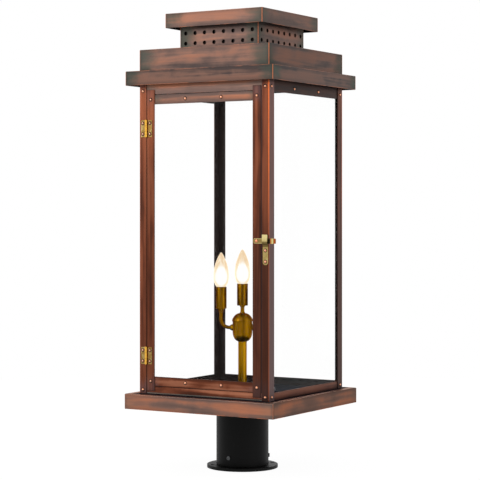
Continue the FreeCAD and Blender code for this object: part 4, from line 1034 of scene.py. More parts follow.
def run_tree(thing, tree, values):
    """Runs a tree on an object with its inputs set by name, and keeps the plain mesh."""
    modifier = thing.modifiers.new(tree.name, "NODES")
    modifier.node_group = tree
    for item in tree.interface.items_tree:
        if item.in_out == "INPUT" and item.name in values:
            modifier[item.identifier] = values[item.name]
    thing.update_tag()
    plain_mesh(thing)
    smoothed(thing, 38)


def seats(name, places):
    """Bare points, each with the direction that its fastener faces."""
    mesh = bpy.data.meshes.new(name)
    mesh.from_pydata([place for place, _ in places], [], [])
    facing = mesh.attributes.new("facing", "FLOAT_VECTOR", "POINT")
    facing.data.foreach_set("vector", [part for _, way in places for part in way])
    return linked(name, mesh)


def rivet_tree():
    """Domed heads, each on a thin dark ring that is their painted shadow. Their height is kept as an
    attribute.
    """
    source = new_tree("rivet_heads", ("Diameter", "Rise"), (), ("Head", "Ring"))
    graph, across = source.graph, source.out("Diameter")
    radius = across * 0.5
    ball = {"Segments": 20, "Rings": 12, "Radius": radius}
    dome = graph.add("GeometryNodeMeshUVSphere", ball)
    flat = graph.add("ShaderNodeCombineXYZ", {0: 1.0, 1: 1.0, 2: source.out("Rise") / radius})
    place = graph.add("GeometryNodeInputPosition")
    height = graph.add("ShaderNodeSeparateXYZ", {0: place}).out("Z")
    stored = {"Geometry": dome, "Name": "crown", "Value": height / radius}
    kind = dict(data_type="FLOAT", domain="POINT")
    marked = graph.add("GeometryNodeStoreNamedAttribute", stored, **kind)
    head = graph.add("GeometryNodeTransform", {"Geometry": marked, "Scale": flat})
    ring = moved(cylinder(20, across, 0.00024, 0.66))
    heads = painted(stood_on_seats(source, head), source.out("Head"))
    return end_tree(join(heads, painted(stood_on_seats(source, ring), source.out("Ring"))))


def rivet_places(node):
    """Where each rivet head of a CAD node is seated, and which way it faces."""
    places = []
    for low, high in islands(node):
        middle = (low + high) / 2
        axis = min(range(3), key=lambda one: high[one] - low[one])
        way = Vector()
        way[axis] = math.copysign(1, middle[axis])
        middle[axis] = low[axis] if way[axis] > 0 else high[axis]
        places.append((middle, way))
    return places


VENT_NUMBERS = ("Hole", "Pitch", "Row Gap", "Half", "Middle", "Lip")


def vent_tree():
    """Punches rows of round holes through four walls and gives each hole a rolled rim."""
    source = new_tree("vent_holes", VENT_NUMBERS, ("Columns", "Rows"), ("Wall", "Rim"))
    graph, hole = source.graph, source.out("Hole")
    columns, rows = source.out("Columns"), source.out("Rows")
    size = {"Size X": source.out("Pitch") * (columns - 1), "Size Y": source.out("Row Gap") * (rows - 1)}
    grid = graph.add("GeometryNodeMeshGrid", {**size, "Vertices X": columns, "Vertices Y": rows})
    upright = (QUARTER, 0.0, 0.0)
    points = moved(grid, source.out("Half") * -1.0, source.out("Middle"), upright)
    curves = []
    for sides, radius in ((24, hole * 0.5), (6, source.out("Lip"))):
        sockets = {"Resolution": sides, "Radius": radius}
        curves.append(graph.add("GeometryNodeCurvePrimitiveCircle", sockets))
    rim = graph.add("GeometryNodeCurveToMesh", {"Curve": curves[0], "Profile Curve": curves[1]})
    rounds = []
    for master in (cylinder(24, hole, 0.006), rim):
        sockets = {"Points": points, "Instance": moved(master, turn=upright)}
        side = realized(graph.add("GeometryNodeInstanceOnPoints", sockets))
        rounds.append(join(*(moved(side, turn=(0.0, 0.0, n * QUARTER)) for n in range(4))))
    wall = painted(cut(source, rounds[0]), source.out("Wall"))
    return end_tree(join(wall, painted(rounds[1], source.out("Rim"))))


FASTENER_NUMBERS = ("Head", "Head Rise", "Washer", "Shank", "Shank Depth", "Socket")


def fastener_tree():
    """A hexagon head or nut over a washer, with a threaded end, or a round head with a socket."""
    source = new_tree("fasteners", FASTENER_NUMBERS, ("Sides",), ("Plate",))
    rise, depth = source.out("Head Rise"), source.out("Shank Depth")
    head = moved(cylinder(source.out("Sides"), source.out("Head"), rise), height=rise * 0.5)
    socket = moved(cylinder(6, source.out("Socket"), rise), height=rise)
    washer = cylinder(28, source.out("Washer"), 0.0008)
    shank = moved(cylinder(20, source.out("Shank"), depth), height=depth * -0.5)
    master = join(cut(head, socket), washer, shank)
    return end_tree(painted(stood_on_seats(source, master), source.out("Plate")))


# --- the pieces ------------------------------------------------------------------------------


def pan_profile(half, low, high, opening, fold, tone):
    """Section of a folded tray: wall with a doubled hem, fold, top sheet."""
    inner, doubled = half - tone.sheet, half - 2 * tone.sheet
    under, hem = high - tone.sheet, low + tone.hem
    outline = [(half, low), (half, high), (opening, high), (opening, under)]
    outline += [(inner, under), (inner, hem), (doubled, hem), (doubled, low)]
    return rounded(outline, [0.0004, fold, 0, 0, 0.0003, 0.0002, 0.0004, 0.0004])


def fold_pan(node, opening, fold, material, tone):
    """One tray, open in its top sheet or not, with a solder bead on each corner."""
    low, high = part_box(node)
    form = bmesh.new()
    profile = pan_profile(high.x, low.z, high.z, opening or 0.004, fold, tone)
    if not opening:
        split = max(range(len(profile)), key=lambda n: -profile[n][0] * 1000 + profile[n][1])
        profile = profile[split + 1 :] + profile[: split + 1]
    add_square_sweep(form, profile, TRAY_CORNER, closed=bool(opening))
    at = high.x - tone.seam * 0.8
    for corner in ((at, at), (-at, at), (-at, -at), (at, -at)):
        add_prism(form, circle(tone.seam, 10, corner), "Z", low.z + 0.0008, high.z - 0.0008)
    make_piece(f"{node}_folded", form, material, "lantern", "copper_sheet", node)


class LANTERN_OT_trays(bpy.types.Operator):
    """Folds the base tray, the eave tray, the roof box and the cap from copper sheet"""

    bl_idname = "lantern.trays"
    bl_label = "Trays and Roof"

    def execute(self, context):
        tone = context.scene.lantern_copper
        looks = {
            # The faces across X are painted lighter on the eave and darker on the roof and the base
            # tray.
            "base_tray": dict(ember=1.0, patina=0.2, dark=0.3, rub=0.35, hem=0.8, grainy=0.4),
            "eave_tray": dict(ember=0.2, patina=1.0, dark=0.8, hem=0.5, gain=0.76, flanks=1.16),
            "roof_box": dict(ember=0.55, patina=0.8, dark=0.5, hem=0.4, gain=0.93, flanks=0.74),
            "top_cap": dict(ember=0.5, patina=0.7, dark=0.3, gain=0.94),
        }
        looks["base_tray"].update(deck=True, gain=1.35, flanks=0.74)
        openings = {"eave_tray": 0.118, "roof_box": 0.08145}
        for node, look in looks.items():
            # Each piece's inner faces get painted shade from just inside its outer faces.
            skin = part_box(node)[1].x / MM - 0.6
            material = aged_copper(node, skin=skin, **(dict(grainy=0.6) | look))
            fold = tone.roll if node == "base_tray" else tone.fold
            fold_pan(node, openings.get(node), fold, material, tone)
        return {"FINISHED"}


class LANTERN_OT_vent_collar(bpy.types.Operator):
    """Punches the rows of vent holes through the collar under the cap, and folds its baffle"""

    bl_idname = "lantern.vent_collar"
    bl_label = "Perforated Collar"

    def execute(self, context):
        vent, tone = context.scene.lantern_vent, context.scene.lantern_copper
        low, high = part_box("perforated_collar")
        thing = new_object("vent_collar", self.fold_walls(high.x, low.z, high.z, tone.sheet))
        middle = low.z + vent.first_row + vent.row_gap * (vent.rows - 1) / 2
        sizes = (vent.hole, vent.pitch, vent.row_gap, high.x - tone.sheet / 2, middle, vent.lip)
        values = dict(zip(VENT_NUMBERS, sizes), Columns=vent.columns, Rows=vent.rows)
        look = dict(patina=0.85, skin=COLLAR_SKIN, grainy=0.5)
        values["Wall"] = aged_copper("perforated_collar", "collar_copper", **look)
        # Painted shade: the rims of the holes are darkened a little.
        look = dict(ember=0.6, patina=0.3, gloom=0.2)
        values["Rim"] = aged_copper("perforated_collar", "vent_rim", **look)
        run_tree(thing, vent_tree(), values)
        if len(thing.data.polygons) < 1000:
            raise RuntimeError("the vent holes were not punched")
        belongs(thing, "lantern", "copper_sheet", "perforated_collar")
        self.fold_baffle(tone)
        return {"FINISHED"}

    def fold_walls(self, outside, low, high, thick):
        """Four walls of sheet round a square."""
        inside = outside - thick
        form = bmesh.new()
        profile = [(outside, low), (outside, high), (inside, high), (inside, low)]
        add_square_sweep(form, profile, COLLAR_CORNER)
        return form

    def fold_baffle(self, tone):
        low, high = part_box("vent_baffle")
        form = self.fold_walls(high.x + BAFFLE_EXTRA, low.z, high.z, tone.sheet)
        # Painted shade: the baffle inside the collar is darkened almost to the shade tone.
        dark = aged_copper("vent_baffle", "baffle_copper", ember=0.1, dark=0.6, gloom=0.85)
        make_piece("vent_baffle_folded", form, dark, "lantern", "copper_sheet", "vent_baffle", sharp=35)


class LANTERN_OT_posts(bpy.types.Operator):
    """Folds the four corner posts"""

    bl_idname = "lantern.posts"
    bl_label = "Corner Posts"

    def execute(self, context):
        looks = {
            -1: dict(ember=0.25, patina=0.45, rub=0.35, gain=1.18, colour_fade=(560.0, 680.0, 0.15, WARM)),
            1: dict(ember=0.15, patina=0.4, rub=1.0, sink=(420.0, 540.0, 0.7)),
        }
        for end, way_y in (("front", -1), ("rear", 1)):
            for side, way_x in (("left", -1), ("right", 1)):
                # The front right post's faces across X get a painted grey light.
                painted_side_grey = 0.5 if (end, side) == ("front", "right") else 0.0
                look = dict(upright=True, strip=True, hem=0.0, skin=POST_SKIN, painted_side_grey=painted_side_grey)
                self.fold_post(f"post_{end}_{side}", way_x, way_y, look | looks[way_x])
        return {"FINISHED"}

    def fold_post(self, node, way_x, way_y, look):
        """An L section whose outside fold stands on the corner that the two ways point to."""
        tone = bpy.context.scene.lantern_copper
        thick = tone.sheet
        low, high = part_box(node)
        wide, deep = high.x - low.x, high.y - low.y
        corner = (high.x if way_x > 0 else low.x, high.y if way_y > 0 else low.y)
        section = [(0, 0), (wide, 0), (wide, thick), (thick, thick), (thick, deep), (0, deep)]
        section = rounded(section, [tone.fold, 0.0002, 0.0002, 0.0003, 0.0002, 0.0002], 4)
        outline = [(corner[0] - way_x * a, corner[1] - way_y * b) for a, b in section]
        form = bmesh.new()
        add_prism(form, outline, "Z", low.z, high.z)
        material = aged_copper(node, fold=(corner[0] / MM, corner[1] / MM), **look)
        make_piece(f"{node}_folded", form, material, "lantern", "copper_frame", node)


def rail_section(low, high, top):
    """A rail's section as (depth from the outside face inward, height)."""
    tone = bpy.context.scene.lantern_copper
    thick, lip = tone.sheet, 0.008
    tall = high.z - low.z
    deep = min(high.x - low.x, high.y - low.y)
    if top:
        section = [(0, 0), (thick, 0), (thick, tall - thick), (deep, tall - thick), (deep, tall)]
        section.append((0, tall))
        radii = [0.0002, 0.0002, 0.0003, 0.0002, 0.0002, tone.fold]
    else:
        section = [(0, 0), (deep, 0), (deep, lip), (deep - thick, lip), (deep - thick, thick)]
        section += [(thick, thick), (thick, tall), (0, tall)]
        radii = [tone.fold, tone.fold, 0.0002, 0.0002, 0.0003, 0.0003, 0.0005, 0.0005]
    return rounded(section, radii)


def fold_rail(node, side, top, **look):
    """One rail: its section run along its side of the body, with mitred ends."""
    low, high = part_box(node)
    section = rail_section(low, high, top)
    form = bmesh.new()
    rings = []
    for way in (-1, 1):
        ring = [(way * (RAIL_END - a), -RAIL_FACE + a, low.z + b) for a, b in section]
        rings.append([form.verts.new(place) for place in ring])
    join_rings(form, rings)
    turn = math.radians({"front": 0, "right": 90, "rear": 180, "left": 270}[side])
    bmesh.ops.transform(form, matrix=Matrix.Rotation(turn, 4, "Z"), verts=form.verts)
    material = aged_copper(node, skin=RAIL_SKIN, rub=0.0, hem=0.2, **look)
    make_piece(f"{node}_folded", form, material, "lantern", "copper_frame", node)


class LANTERN_OT_rails(bpy.types.Operator):
    """Folds the header, the sill and the rails of the glazed sides"""

    bl_idname = "lantern.rails"
    bl_label = "Header, Sill and Rails"

    def execute(self, context):
        fold_rail("front_header", "front", True, ember=1.0, patina=0.45, dark=0.25, gain=1.34)
        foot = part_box("front_sill")[0].z / MM
        look = dict(ember=1.0, patina=0.3, gain=1.32)
        # Painted reflection: the sill's lower fold fades to a pale grey.
        look["colour_fade"] = (foot + 3.6, foot + 2.4, 0.6, linear(122, 122, 116))
        fold_rail("front_sill", "front", False, strip=True, **look)
        look = dict(strip=True, patina=0.15, dark=0.5)
        for side in ("left", "right", "rear"):
            # Painted shade: the top rails under the eave are darkened most, the bottom rails less.
            fold_rail(f"{side}_top_rail", side, True, ember=0.15, gloom=0.72, **look)
            fold_rail(f"{side}_bottom_rail", side, False, ember=0.4, gloom=0.25, **look)
        return {"FINISHED"}


class LANTERN_OT_door_frame(bpy.types.Operator):
    """Cuts the door's two stiles and two rails from strip, and the stops behind its edges"""

    bl_idname = "lantern.door_frame"
    bl_label = "Door Frame"

    def execute(self, context):
        looks = {
            "door_hinge_stile": dict(upright=True, ember=0.3, colour_fade=(600.0, 690.0, 0.3, WARM)),
            "door_latch_stile": dict(upright=True, ember=0.3, sink=(420.0, 540.0, 0.5)),
            "door_top_rail": dict(strip=False, ember=0.75, patina=0.5, dark=0.3, skin=DOOR_RAIL_SKIN),
            "door_bottom_rail": dict(ember=0.85, dark=0.3, gain=1.06, skin=DOOR_RAIL_SKIN),
        }
        for node, look in looks.items():
            form = bmesh.new()
            add_plate(form, *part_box(node), 0.0006)
            look = dict(strip=True, patina=0.4, skin=STILE_SKIN, rub=0.0, hem=0.0) | look
            material = aged_copper(node, **look)
            make_piece(f"{node}_strip", form, material, "door", "copper_frame", node, bevel=0.00022)
        self.cut_stops()
        return {"FINISHED"}

    def cut_stops(self):
        """The strips behind the door's edges, and one behind the gap over the sill."""
        form = bmesh.new()
        for low, high in islands("door_stops"):
            add_plate(form, low, high, 0.0004)
        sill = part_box("front_sill")[1].z
        low = Vector((-STRIP_HALF, STRIP_BACK, sill - 0.006))
        high = Vector((STRIP_HALF, STRIP_BACK + STRIP_THICK, sill + 0.005))
        add_plate(form, low, high, 0.0004)
        # Painted shade: the stops behind the door's edges are darkened.
        look = dict(upright=True, strip=True, rub=0.0, hem=0.0, gloom=0.7)
        dark = aged_copper("door_stops", **look)
        make_piece("door_stops_cut", form, dark, "lantern", "copper_frame", "door_stops", bevel=0.0002)


class LANTERN_OT_glazing(bpy.types.Operator):
    """Cuts the four panes, with ground edges"""

    bl_idname = "lantern.glazing"
    bl_label = "Glazing"

    def execute(self, context):
        for side, axis in (("door", "Y"), ("left", "X"), ("right", "X"), ("rear", "Y")):
            node, body = f"{side}_glass", "door" if side == "door" else "lantern"
            form = bmesh.new()
            add_plate(form, *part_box(node), 0.001, axis)
            make_piece(f"{node}_pane", form, clear_glass(node), body, "clear_glass", node, bevel=0.0003)
        return {"FINISHED"}


class LANTERN_OT_clips(bpy.types.Operator):
    """Bends the clips that hold the panes"""

    bl_idname = "lantern.clips"
    bl_label = "Glazing Clips"

    def execute(self, context):
        for node, body in (("pane_clips", "lantern"), ("door_clips", "door")):
            form = merged_copy(node, flat=1)
            material = aged_copper(node, ember=0.3, patina=0.3, dark=0.6)
            make_piece(f"{node}_bent", form, material, body, "copper_frame", node, bevel=0.0002)
        return {"FINISHED"}


class LANTERN_OT_rivets(bpy.types.Operator):
    """Sets the domed rivets of the frame, the door and the hardware"""

    bl_idname = "lantern.rivets"
    bl_label = "Rivets"

    def execute(self, context):
        head = context.scene.lantern_rivet
        values = {"Diameter": head.diameter, "Rise": head.rise}
        values.update({"Head": rivet_copper(), "Ring": rivet_ring()})
        tree = rivet_tree()
        for family, body in (("frame", "lantern"), ("door", "door"), ("hardware", "lantern")):
            node = f"{family}_rivets"
            places = rivet_places(node)
            if not places:
                raise RuntimeError(f"{node} has no rivets")
            thing = seats(f"{node}_domed", places)
            run_tree(thing, tree, values)
            belongs(thing, body, "copper_rivet", node)
        return {"FINISHED"}


class LANTERN_OT_hinges(bpy.types.Operator):
    """Forms the two brass butt hinges and their pins"""

    bl_idname = "lantern.hinges"
    bl_label = "Hinges"

    def execute(self, context):
        brass = hinge_brass()
        leaves, pins = [
            sorted(islands(node), key=lambda pair: pair[0].z)
            for node in ("hinge_post_leaves", "hinge_pins")
        ]
        for node, body, way, spans in (
            ("hinge_post_leaves", "lantern", -1, ((0, 0.329), (0.671, 1))),
            ("hinge_door_leaves", "door", 1, ((0.338, 0.662),)),
        ):
            form = bmesh.new()
            for leaf, pin in zip(leaves, pins):
                self.form_leaf(form, leaf, self.axis(pin), way, spans)
            soft = dict(bevel=0.00018, angle=50)
            make_piece(f"{node}_formed", form, brass, body, "bright_brass", node, **soft)
        form = bmesh.new()
        for low, high in pins:
            profile = over(low.z, (0, 0), (0.8, 0), (1.2, 0.4))
            profile += over(high.z, (1.2, -1.3), (1.9, -1.2), (2, -0.8))
            profile += over(high.z, (1.7, -0.3), (1, -0.05), (0, 0))
            add_lathe(form, profile, 24, self.axis((low, high)))
        make_piece("hinge_pins_turned", form, brass, "lantern", "bright_brass", "hinge_pins", sharp=40)
        return {"FINISHED"}

    def axis(self, pin):
        low, high = pin
        return (low.x + high.x) / 2, (low.y + high.y) / 2

    def form_leaf(self, form, leaf, axis, way, spans):
        """A leaf on one side of its axis, with knuckles over shares of its height."""
        low, high = leaf
        tall = high.z - low.z
        front, back = high.y - 0.001, high.y
        near, far = axis[0] + way * 0.0028, axis[0] + way * 0.013
        outline = [(near, low.z), (far, low.z), (far, high.z), (near, high.z)]
        outline = rounded(outline, [0.0001, 0.0012, 0.0012, 0.0001])
        add_prism(form, outline, "Y", front, back)
        for start, end in spans:
            bottom, top = low.z + start * tall, low.z + end * tall
            root = [(axis[0], bottom), (near, bottom), (near, top), (axis[0], top)]
            add_prism(form, root, "Y", front - 0.0002, back)
            barrel = over(bottom, (0, 0), (2.2, 0), (2.5, 0.3))
            barrel += over(top, (2.5, -0.3), (2.2, 0), (0, 0))
            add_lathe(form, barrel, 28, axis)


class LANTERN_OT_latch(bpy.types.Operator):
    """Bends the latch bar with its finger tab, and heads the rivet that it turns on"""

    bl_idname = "lantern.latch"
    bl_label = "Latch Bar"

    def execute(self, context):
        low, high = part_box("latch_bar")
        thick, middle, half = 0.0013, (low.z + high.z) / 2, (high.z - low.z) / 2
        path = walk((low.x, high.y - thick / 2), 0, [(0.0332,), (0.006, -45), (0.013, 75)])
        form = bmesh.new()
        rounds = (0.0046, 0.0012)
        add_bent_strip(form, path, thick, half, rounds, lambda at, a: (at.x, at.y, middle + a))
        brass = latch_brass(middle, half)
        make_piece("latch_bar_bent", form, brass, "latch", "bright_brass", "latch_bar", bevel=0.00022)
        self.head_pivot()
        return {"FINISHED"}

    def head_pivot(self):
        low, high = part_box("latch_pivot")
        turn = Matrix.Translation(((low.x + high.x) / 2, high.y, (low.z + high.z) / 2))
        turn = turn @ Matrix.Rotation(QUARTER, 4, "X")
        wide, rise, tall = (high.x - low.x) / 2, 0.0016, high.y - low.y
        shoulder = tall - rise
        profile = over(0, (0, 0), (1.6, 0), (1.6, 1.2), (3.2, 1.25), (3.2, 2), (1.6, 2.1))
        profile.append((0.0016, shoulder))
        for angle in map(math.radians, (0, 20, 40, 58, 74)):
            profile.append((wide * math.cos(angle), shoulder + rise * math.sin(angle)))
        form = bmesh.new()
        add_lathe(form, profile + [(0, tall)], 28, turn=turn)
        copper = rivet_copper("pivot_copper", domed=False)
        make_piece("latch_pivot_headed", form, copper, "door", "copper_rivet", "latch_pivot", sharp=40)


class LANTERN_OT_keeper(bpy.types.Operator):
    """Bends the keeper that the latch bar drops into"""

    bl_idname = "lantern.keeper"
    bl_label = "Latch Keeper"

    def execute(self, context):
        low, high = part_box("latch_keeper")
        thick, middle, half = 0.0012, (low.x + high.x) / 2, (high.x - low.x) / 2
        inner, outer = high.y - thick / 2, low.y + thick / 2
        corners = [(inner, low.z), (inner, KEEPER_SHELF), (outer, KEEPER_SHELF), (outer, high.z)]
        path = rounded(corners, 0.0011, 5, closed=False)
        form = bmesh.new()
        rounds = (0.0052, 0.001)
        add_bent_strip(form, path, thick, half, rounds, lambda at, a: (middle + a, at.x, at.y))
        kept = ("lantern", "bright_brass", "latch_keeper")
        make_piece("latch_keeper_bent", form, keeper_brass(), *kept, bevel=0.0002)
        return {"FINISHED"}


def arms():
    """The direction of each arm of the cluster, and its angle."""
    angles = (CLUSTER_TURN, CLUSTER_TURN + math.pi)
    return [(Vector((math.cos(a), math.sin(a))), a) for a in angles]


class LANTERN_OT_cluster(bpy.types.Operator):
    """Turns the cluster's stem, body, cap and neck, and bends its arms"""

    bl_idname = "lantern.cluster"
    bl_label = "Light Cluster"

    def execute(self, context):
        self.turn_column()
        self.bend_arms()
        return {"FINISHED"}

    def turn_column(self):
        low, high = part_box("cluster_column")
        form = bmesh.new()
        add_lathe(form, over(low.z, (0, 0), (8.65, 0)) + over(COLUMN_SEAT, (8.65, 2), (0, 2)))
        washer = over(STEM_WASHER, (8.7, 0), (21.7, 0), (22, 0.3), (22, 1.2), (21.4, 1.6), (8.7, 1.6))
        add_lathe(form, washer)
        add_prism(form, circle(0.0156, 6), "Z", STEM_NUT, STEM_NUT + 0.005)
        cup = over(COLUMN_SEAT, (0, 0), (9.2, 0), (9.7, 0.6), (12.8, 2.2), (15.8, 5.2), (18, 9.2))
        cup += over(COLUMN_SEAT, (19.4, 14), (20, 19))
        cup += over(COLUMN_SEAM, (20, -0.6), (19.6, -0.1), (0, 0))
        add_lathe(form, cup, 56)
        cap = over(COLUMN_SEAM, (0, 0), (20.8, 0.1), (21.2, 0.5), (21.2, 2.8), (20.9, 3.4), (19.6, 6.6))
        cap += over(COLUMN_SEAM, (17.2, 10.2), (13.6, 13.8), (9.4, 16.1), (6.2, 16.8), (0, 16.8))
        add_lathe(form, cap, 56)
        neck = over(NECK_FOOT, (0, -0.5), (5.4, -0.5), (5.4, 0.8), (4.6, 1.8), (4, 3.4))
        neck += over(high.z, (4, -4.2), (4.6, -2.6), (5.5, -1.6), (5.5, -0.2), (0, 0))
        add_lathe(form, neck, 32)
        boss = over(0, (0, 16.5), (6.6, 16.5), (6.6, 20.5), (6.2, 22.2), (5.3, 23.6), (5.1, 24.8))
        boss += over(0, (4.6, 25), (0, 25))
        for _, angle in arms():
            turn = Matrix.Rotation(angle, 4, "Z") @ Matrix.Translation((0, 0, ARM_LEVEL))
            add_lathe(form, boss, 28, turn=turn @ Matrix.Rotation(QUARTER, 4, "Y"))
        # The body's underside gets painted light.
        brass = antique_brass("cluster_brass", 0.45, 0.1, (262.0, 276.0), 1.12)
        kept = ("lantern", "antique_brass", "cluster_column")
        make_piece("cluster_column_turned", form, brass, *kept, sharp=38)

    def bend_arms(self):
        form = bmesh.new()
        for out, _ in arms():
            path = walk((ARM_START, ARM_LEVEL), 0, [(0.0058,), (0.017, 90), (0.0215,)])
            add_tube(form, [out.to_3d() * p.x + UP * p.y for p in path], 0.0036, 20)
            collar = over(SIDE_FOOT, (0, -8.2), (4, -8.2), (5, -7.5), (5, -5.2), (4.2, -4.5))
            collar += over(SIDE_FOOT, (4.2, -3.3), (5.8, -2.3), (6.2, -1.1), (6.2, 0), (0, 0))
            add_lathe(form, collar, 28, out * ARM_REACH)
        kept = ("lantern", "antique_brass", "cluster_arms")
        make_piece("cluster_arms_bent", form, antique_brass("arm_brass", 0.3, 0.6), *kept, sharp=38)


class LANTERN_OT_candles(bpy.types.Operator):
    """Draws the candle sleeves with their lampholders and blows the three lit bulbs"""

    bl_idname = "lantern.candles"
    bl_label = "Candle Lights"

    def execute(self, context):
        sleeves, bulbs, cores = bmesh.new(), bmesh.new(), bmesh.new()
        places = [((0, 0), MIDDLE_FOOT)] + [(out * ARM_REACH, SIDE_FOOT) for out, _ in arms()]
        for place, foot in places:
            self.draw_sleeve(sleeves, place, foot)
            self.blow_bulb(bulbs, cores, place, foot + SLEEVE_TALL)
        brass = antique_brass("sleeve_brass", 0.16, 0.9, gain=0.86)
        kept = ("lantern", "antique_brass", "candle_sleeves")
        make_piece("candle_sleeves_drawn", sleeves, brass, *kept, sharp=38)
        make_piece("bulb_glass", bulbs, lit_envelope(), "lantern", "lit_bulb", "bulbs", sharp=50)
        make_piece("bulb_light", cores, lit_core(), "lantern", "lit_bulb", sharp=60)
        return {"FINISHED"}

    def draw_sleeve(self, form, place, foot):
        """A sleeve with the lampholder's face sunk in its mouth."""
        profile = over(foot, (0, 0), (10.6, 0), (11, 0.4))
        profile += over(foot + SLEEVE_TALL, (11, -0.3), (10.8, 0), (10.2, 0), (10, -0.3), (10, -8))
        profile += over(foot + SLEEVE_TALL, (9.4, -8), (9.2, -7.4), (8, -7.4), (0, -7.6))
        add_lathe(form, profile, 40, place)

    def blow_bulb(self, glass, core, place, mouth):
        """The torpedo glass, which starts inside the sleeve, and the light within it."""
        shape = over(mouth, (0, -7.4), (7.6, -7.4), (7.9, -6), (9, -1.4), (9.9, 0.5), (11.1, 2.2))
        shape += over(mouth, (12.6, 4.8), (14, 8.2), (14.9, 11.6), (15.6, 15.4), (15.9, 21))
        shape += over(mouth, (15.7, 26.5), (15, 33), (13.8, 39.5), (12.2, 45.7), (10.1, 52))
        shape += over(mouth, (7.6, 58), (5.2, 63), (3.3, 66.5), (1.6, 68.9), (0, 70))
        add_lathe(glass, shape, 40, place)
        heart = over(mouth, (0, 1.5), (5, 4), (7.8, 8.5), (10, 13.5), (11.2, 19), (10.8, 24.5))
        heart += over(mouth, (9, 30), (6.4, 35), (3.4, 38.5), (0, 40))
        add_lathe(core, heart, 32, place)


class LANTERN_OT_fitter(bpy.types.Operator):
    """Rolls the black sleeve with its welded flange under the base tray"""

    bl_idname = "lantern.fitter"
    bl_label = "Fitter"

    def execute(self, context):
        low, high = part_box("fitter")
        bore, out, rim = FITTER_BORE, FITTER_OUT, high.x / MM
        flange = high.z - 0.003
        profile = over(low.z, (bore, 0.3), (bore + 0.3, 0), (out - 0.4, 0), (out, 0.4))
        profile += over(flange, (out, -3.5), (out + 0.6, -1.6), (out + 1.8, -0.5), (out + 3.6, 0))
        profile += over(flange, (rim - 0.4, 0), (rim, 0.4), (rim, 3), (bore, 3))
        form = bmesh.new()
        add_lathe(form, profile, 72, closed=True)
        make_piece("fitter_rolled", form, black_steel(), "lantern", "black_steel", "fitter", sharp=38)
        return {"FINISHED"}


class LANTERN_OT_pier_mount(bpy.types.Operator):
    """Cuts the pier plate with its anchor holes and welds the stub on it"""

    bl_idname = "lantern.pier_mount"
    bl_label = "Pier Mount"

    def execute(self, context):
        coat = bpy.data.materials.get("satin_black") or black_steel()
        plate = ("pier_mount", "black_steel", "pier_plate")
        form = merged_copy("pier_plate", flat=0.5)
        make_piece("pier_plate_cut", form, coat, *plate, bevel=0.0005, angle=50)
        low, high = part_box("pier_stub")
        outside, inside = high.x / MM, high.x / MM - STUB_WALL
        profile = over(low.z, (inside, 0), (outside, 0))
        profile += over(high.z, (outside, -0.8), (outside - 0.8, 0), (inside, 0))
        form = bmesh.new()
        add_lathe(form, profile, 72, closed=True)
        make_piece("pier_stub_cut", form, coat, "pier_mount", "black_steel", "pier_stub", sharp=38)
        return {"FINISHED"}


class LANTERN_OT_fasteners(bpy.types.Operator):
    """Sets the fitter's set screws and bolts"""

    bl_idname = "lantern.fasteners"
    bl_label = "Screws and Bolts"

    def execute(self, context):
        tree, plate = fastener_tree(), blackened_zinc()
        screws, bolts = [], []
        for low, high in islands("set_screws"):
            middle = (low + high) / 2
            way = Vector((middle.x, middle.y, 0)).normalized()
            screws.append((way * SCREW_SEAT + UP * middle.z, way))
        for low, high in islands("fitter_bolts"):
            x, y = (low.x + high.x) / 2, (low.y + high.y) / 2
            bolts += [(Vector((x, y, BOLT_SEAT)), UP), (Vector((x, y, NUT_SEAT)), -UP)]
        for node, made, places, sides, sizes in (
            ("set_screws", "turned", screws, 28, (7.4, 2.2, 8.0, 6.0, 1.9, 4.0)),
            ("fitter_bolts", "set", bolts, 6, (11.0, 3.5, 13.0, 6.0, 4.0, 0.0)),
        ):
            sizes = [size * MM for size in sizes]
            values = dict(zip(FASTENER_NUMBERS, sizes), Sides=sides, Plate=plate)
            thing = seats(f"{node}_{made}", places)
            run_tree(thing, tree, values)
            belongs(thing, "lantern", "zinc_steel", node)
        return {"FINISHED"}


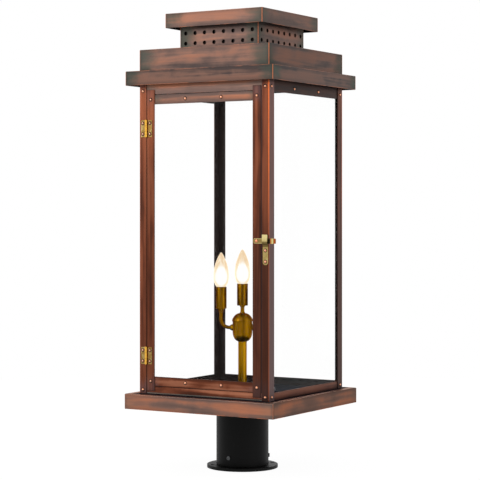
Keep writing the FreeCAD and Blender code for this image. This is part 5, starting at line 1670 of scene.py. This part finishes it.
class LANTERN_OT_studio(bpy.types.Operator):
    """Lays the pale floor and sets the soft lamps, the even light and the camera"""

    bl_idname = "lantern.studio"
    bl_label = "Studio"

    def execute(self, context):
        studio = context.scene.lantern_studio
        context.scene.view_settings.view_transform = "Standard"
        self.lay_floor()
        self.light_world(studio)
        self.set_lamp("key_lamp", (-1.5, -2.6, 2.0), (0, 0, 0.55), (1.3, 1.9), studio.key)
        self.set_lamp("fill_lamp", (2.9, -0.7, 1.1), (0, 0, 0.5), (0.9, 1.7), studio.fill)
        self.set_lamp("rim_lamp", (-1.2, 2.3, 1.8), (0, 0, 0.5), (1.2, 1.2), studio.rim)
        self.set_camera(studio)
        return {"FINISHED"}

    def seen(self, graph):
        """1 on rays from the camera and on rays that metal and glass send on."""
        path = graph.add("ShaderNodeLightPath")
        glossy = most(path.out("Is Glossy Ray"), path.out("Is Transmission Ray"))
        return most(path.out("Is Camera Ray"), glossy)

    def lay_floor(self):
        form = bmesh.new()
        add_prism(form, circle(FLOOR_RADIUS, 96), "Z", -0.01, 0.0)
        floor = new_object("studio_floor", form)
        finish = Finish("pale_floor")
        tint = finish.blend(finish.noise(0.004), linear(247, 247, 247), linear(250, 250, 250))
        matt = finish.add("ShaderNodeBsdfDiffuse", {"Color": tint})
        white = finish.add("ShaderNodeEmission", {"Color": (1.0, 1.0, 1.0), "Strength": 1.04})
        floor.data.materials.append(finish.mixture(self.seen(finish) * 0.92, matt, white))

    def light_world(self, studio):
        world = bpy.data.worlds.new("studio_light")
        world.use_nodes = True
        bpy.context.scene.world = world
        graph = Graph(world.node_tree)
        strength = studio.ambient + self.seen(graph) * (1.0 - studio.ambient)
        light = graph.add("ShaderNodeBackground", {"Color": (1.0, 1.0, 1.0), "Strength": strength})
        graph.add("ShaderNodeOutputWorld", {"Surface": light})

    def set_lamp(self, name, place, target, size, power):
        lamp = bpy.data.lights.new(name, "AREA")
        lamp.shape, lamp.size, lamp.size_y = "RECTANGLE", size[0], size[1]
        lamp.energy = power
        thing = linked(name, lamp)
        thing.location = place
        aim = Vector(target) - Vector(place)
        thing.rotation_euler = aim.to_track_quat("-Z", "Y").to_euler()

    def set_camera(self, studio):
        lens = bpy.data.cameras.new("camera")
        lens.lens, lens.sensor_width, lens.shift_y = studio.lens, 36.0, studio.lower
        lens.clip_start, lens.clip_end = 0.1, 50.0
        thing = linked("camera", lens)
        thing.location = EYE
        thing.rotation_euler = (QUARTER, 0, math.radians(31.25))
        bpy.context.scene.camera = thing


STEPS = (
    LANTERN_OT_trays,
    LANTERN_OT_vent_collar,
    LANTERN_OT_posts,
    LANTERN_OT_rails,
    LANTERN_OT_door_frame,
    LANTERN_OT_glazing,
    LANTERN_OT_clips,
    LANTERN_OT_rivets,
    LANTERN_OT_hinges,
    LANTERN_OT_latch,
    LANTERN_OT_keeper,
    LANTERN_OT_cluster,
    LANTERN_OT_candles,
    LANTERN_OT_fitter,
    LANTERN_OT_pier_mount,
    LANTERN_OT_fasteners,
    LANTERN_OT_studio,
)


class LANTERN_PT_maker(bpy.types.Panel):
    """Lists the steps that make the lantern"""

    bl_idname = "LANTERN_PT_maker"
    bl_label = "Post Lantern"
    bl_space_type = "VIEW_3D"
    bl_region_type = "UI"
    bl_category = "Lantern"

    def draw(self, context):
        for step in STEPS:
            self.layout.operator(step.bl_idname)


SETTINGS = {
    "lantern_copper": CopperFinish,
    "lantern_vent": VentPattern,
    "lantern_rivet": RivetHead,
    "lantern_brass": BrassFinish,
    "lantern_lamp": Lamp,
    "lantern_studio": Studio,
}


def register():
    for kind in (*SETTINGS.values(), *STEPS, LANTERN_PT_maker):
        bpy.utils.register_class(kind)
    for name, kind in SETTINGS.items():
        setattr(bpy.types.Scene, name, PointerProperty(type=kind))


def unregister():
    for name in SETTINGS:
        delattr(bpy.types.Scene, name)
    for kind in (LANTERN_PT_maker, *reversed(STEPS), *reversed(SETTINGS.values())):
        bpy.utils.unregister_class(kind)


def corners(box):
    return [list(corner) for corner in box]


def main():
    """Makes every piece in order."""
    register()
    for step in STEPS:
        family, name = step.bl_idname.split(".")
        getattr(getattr(bpy.ops, family), name)()


if __name__ == "__main__":
    main()
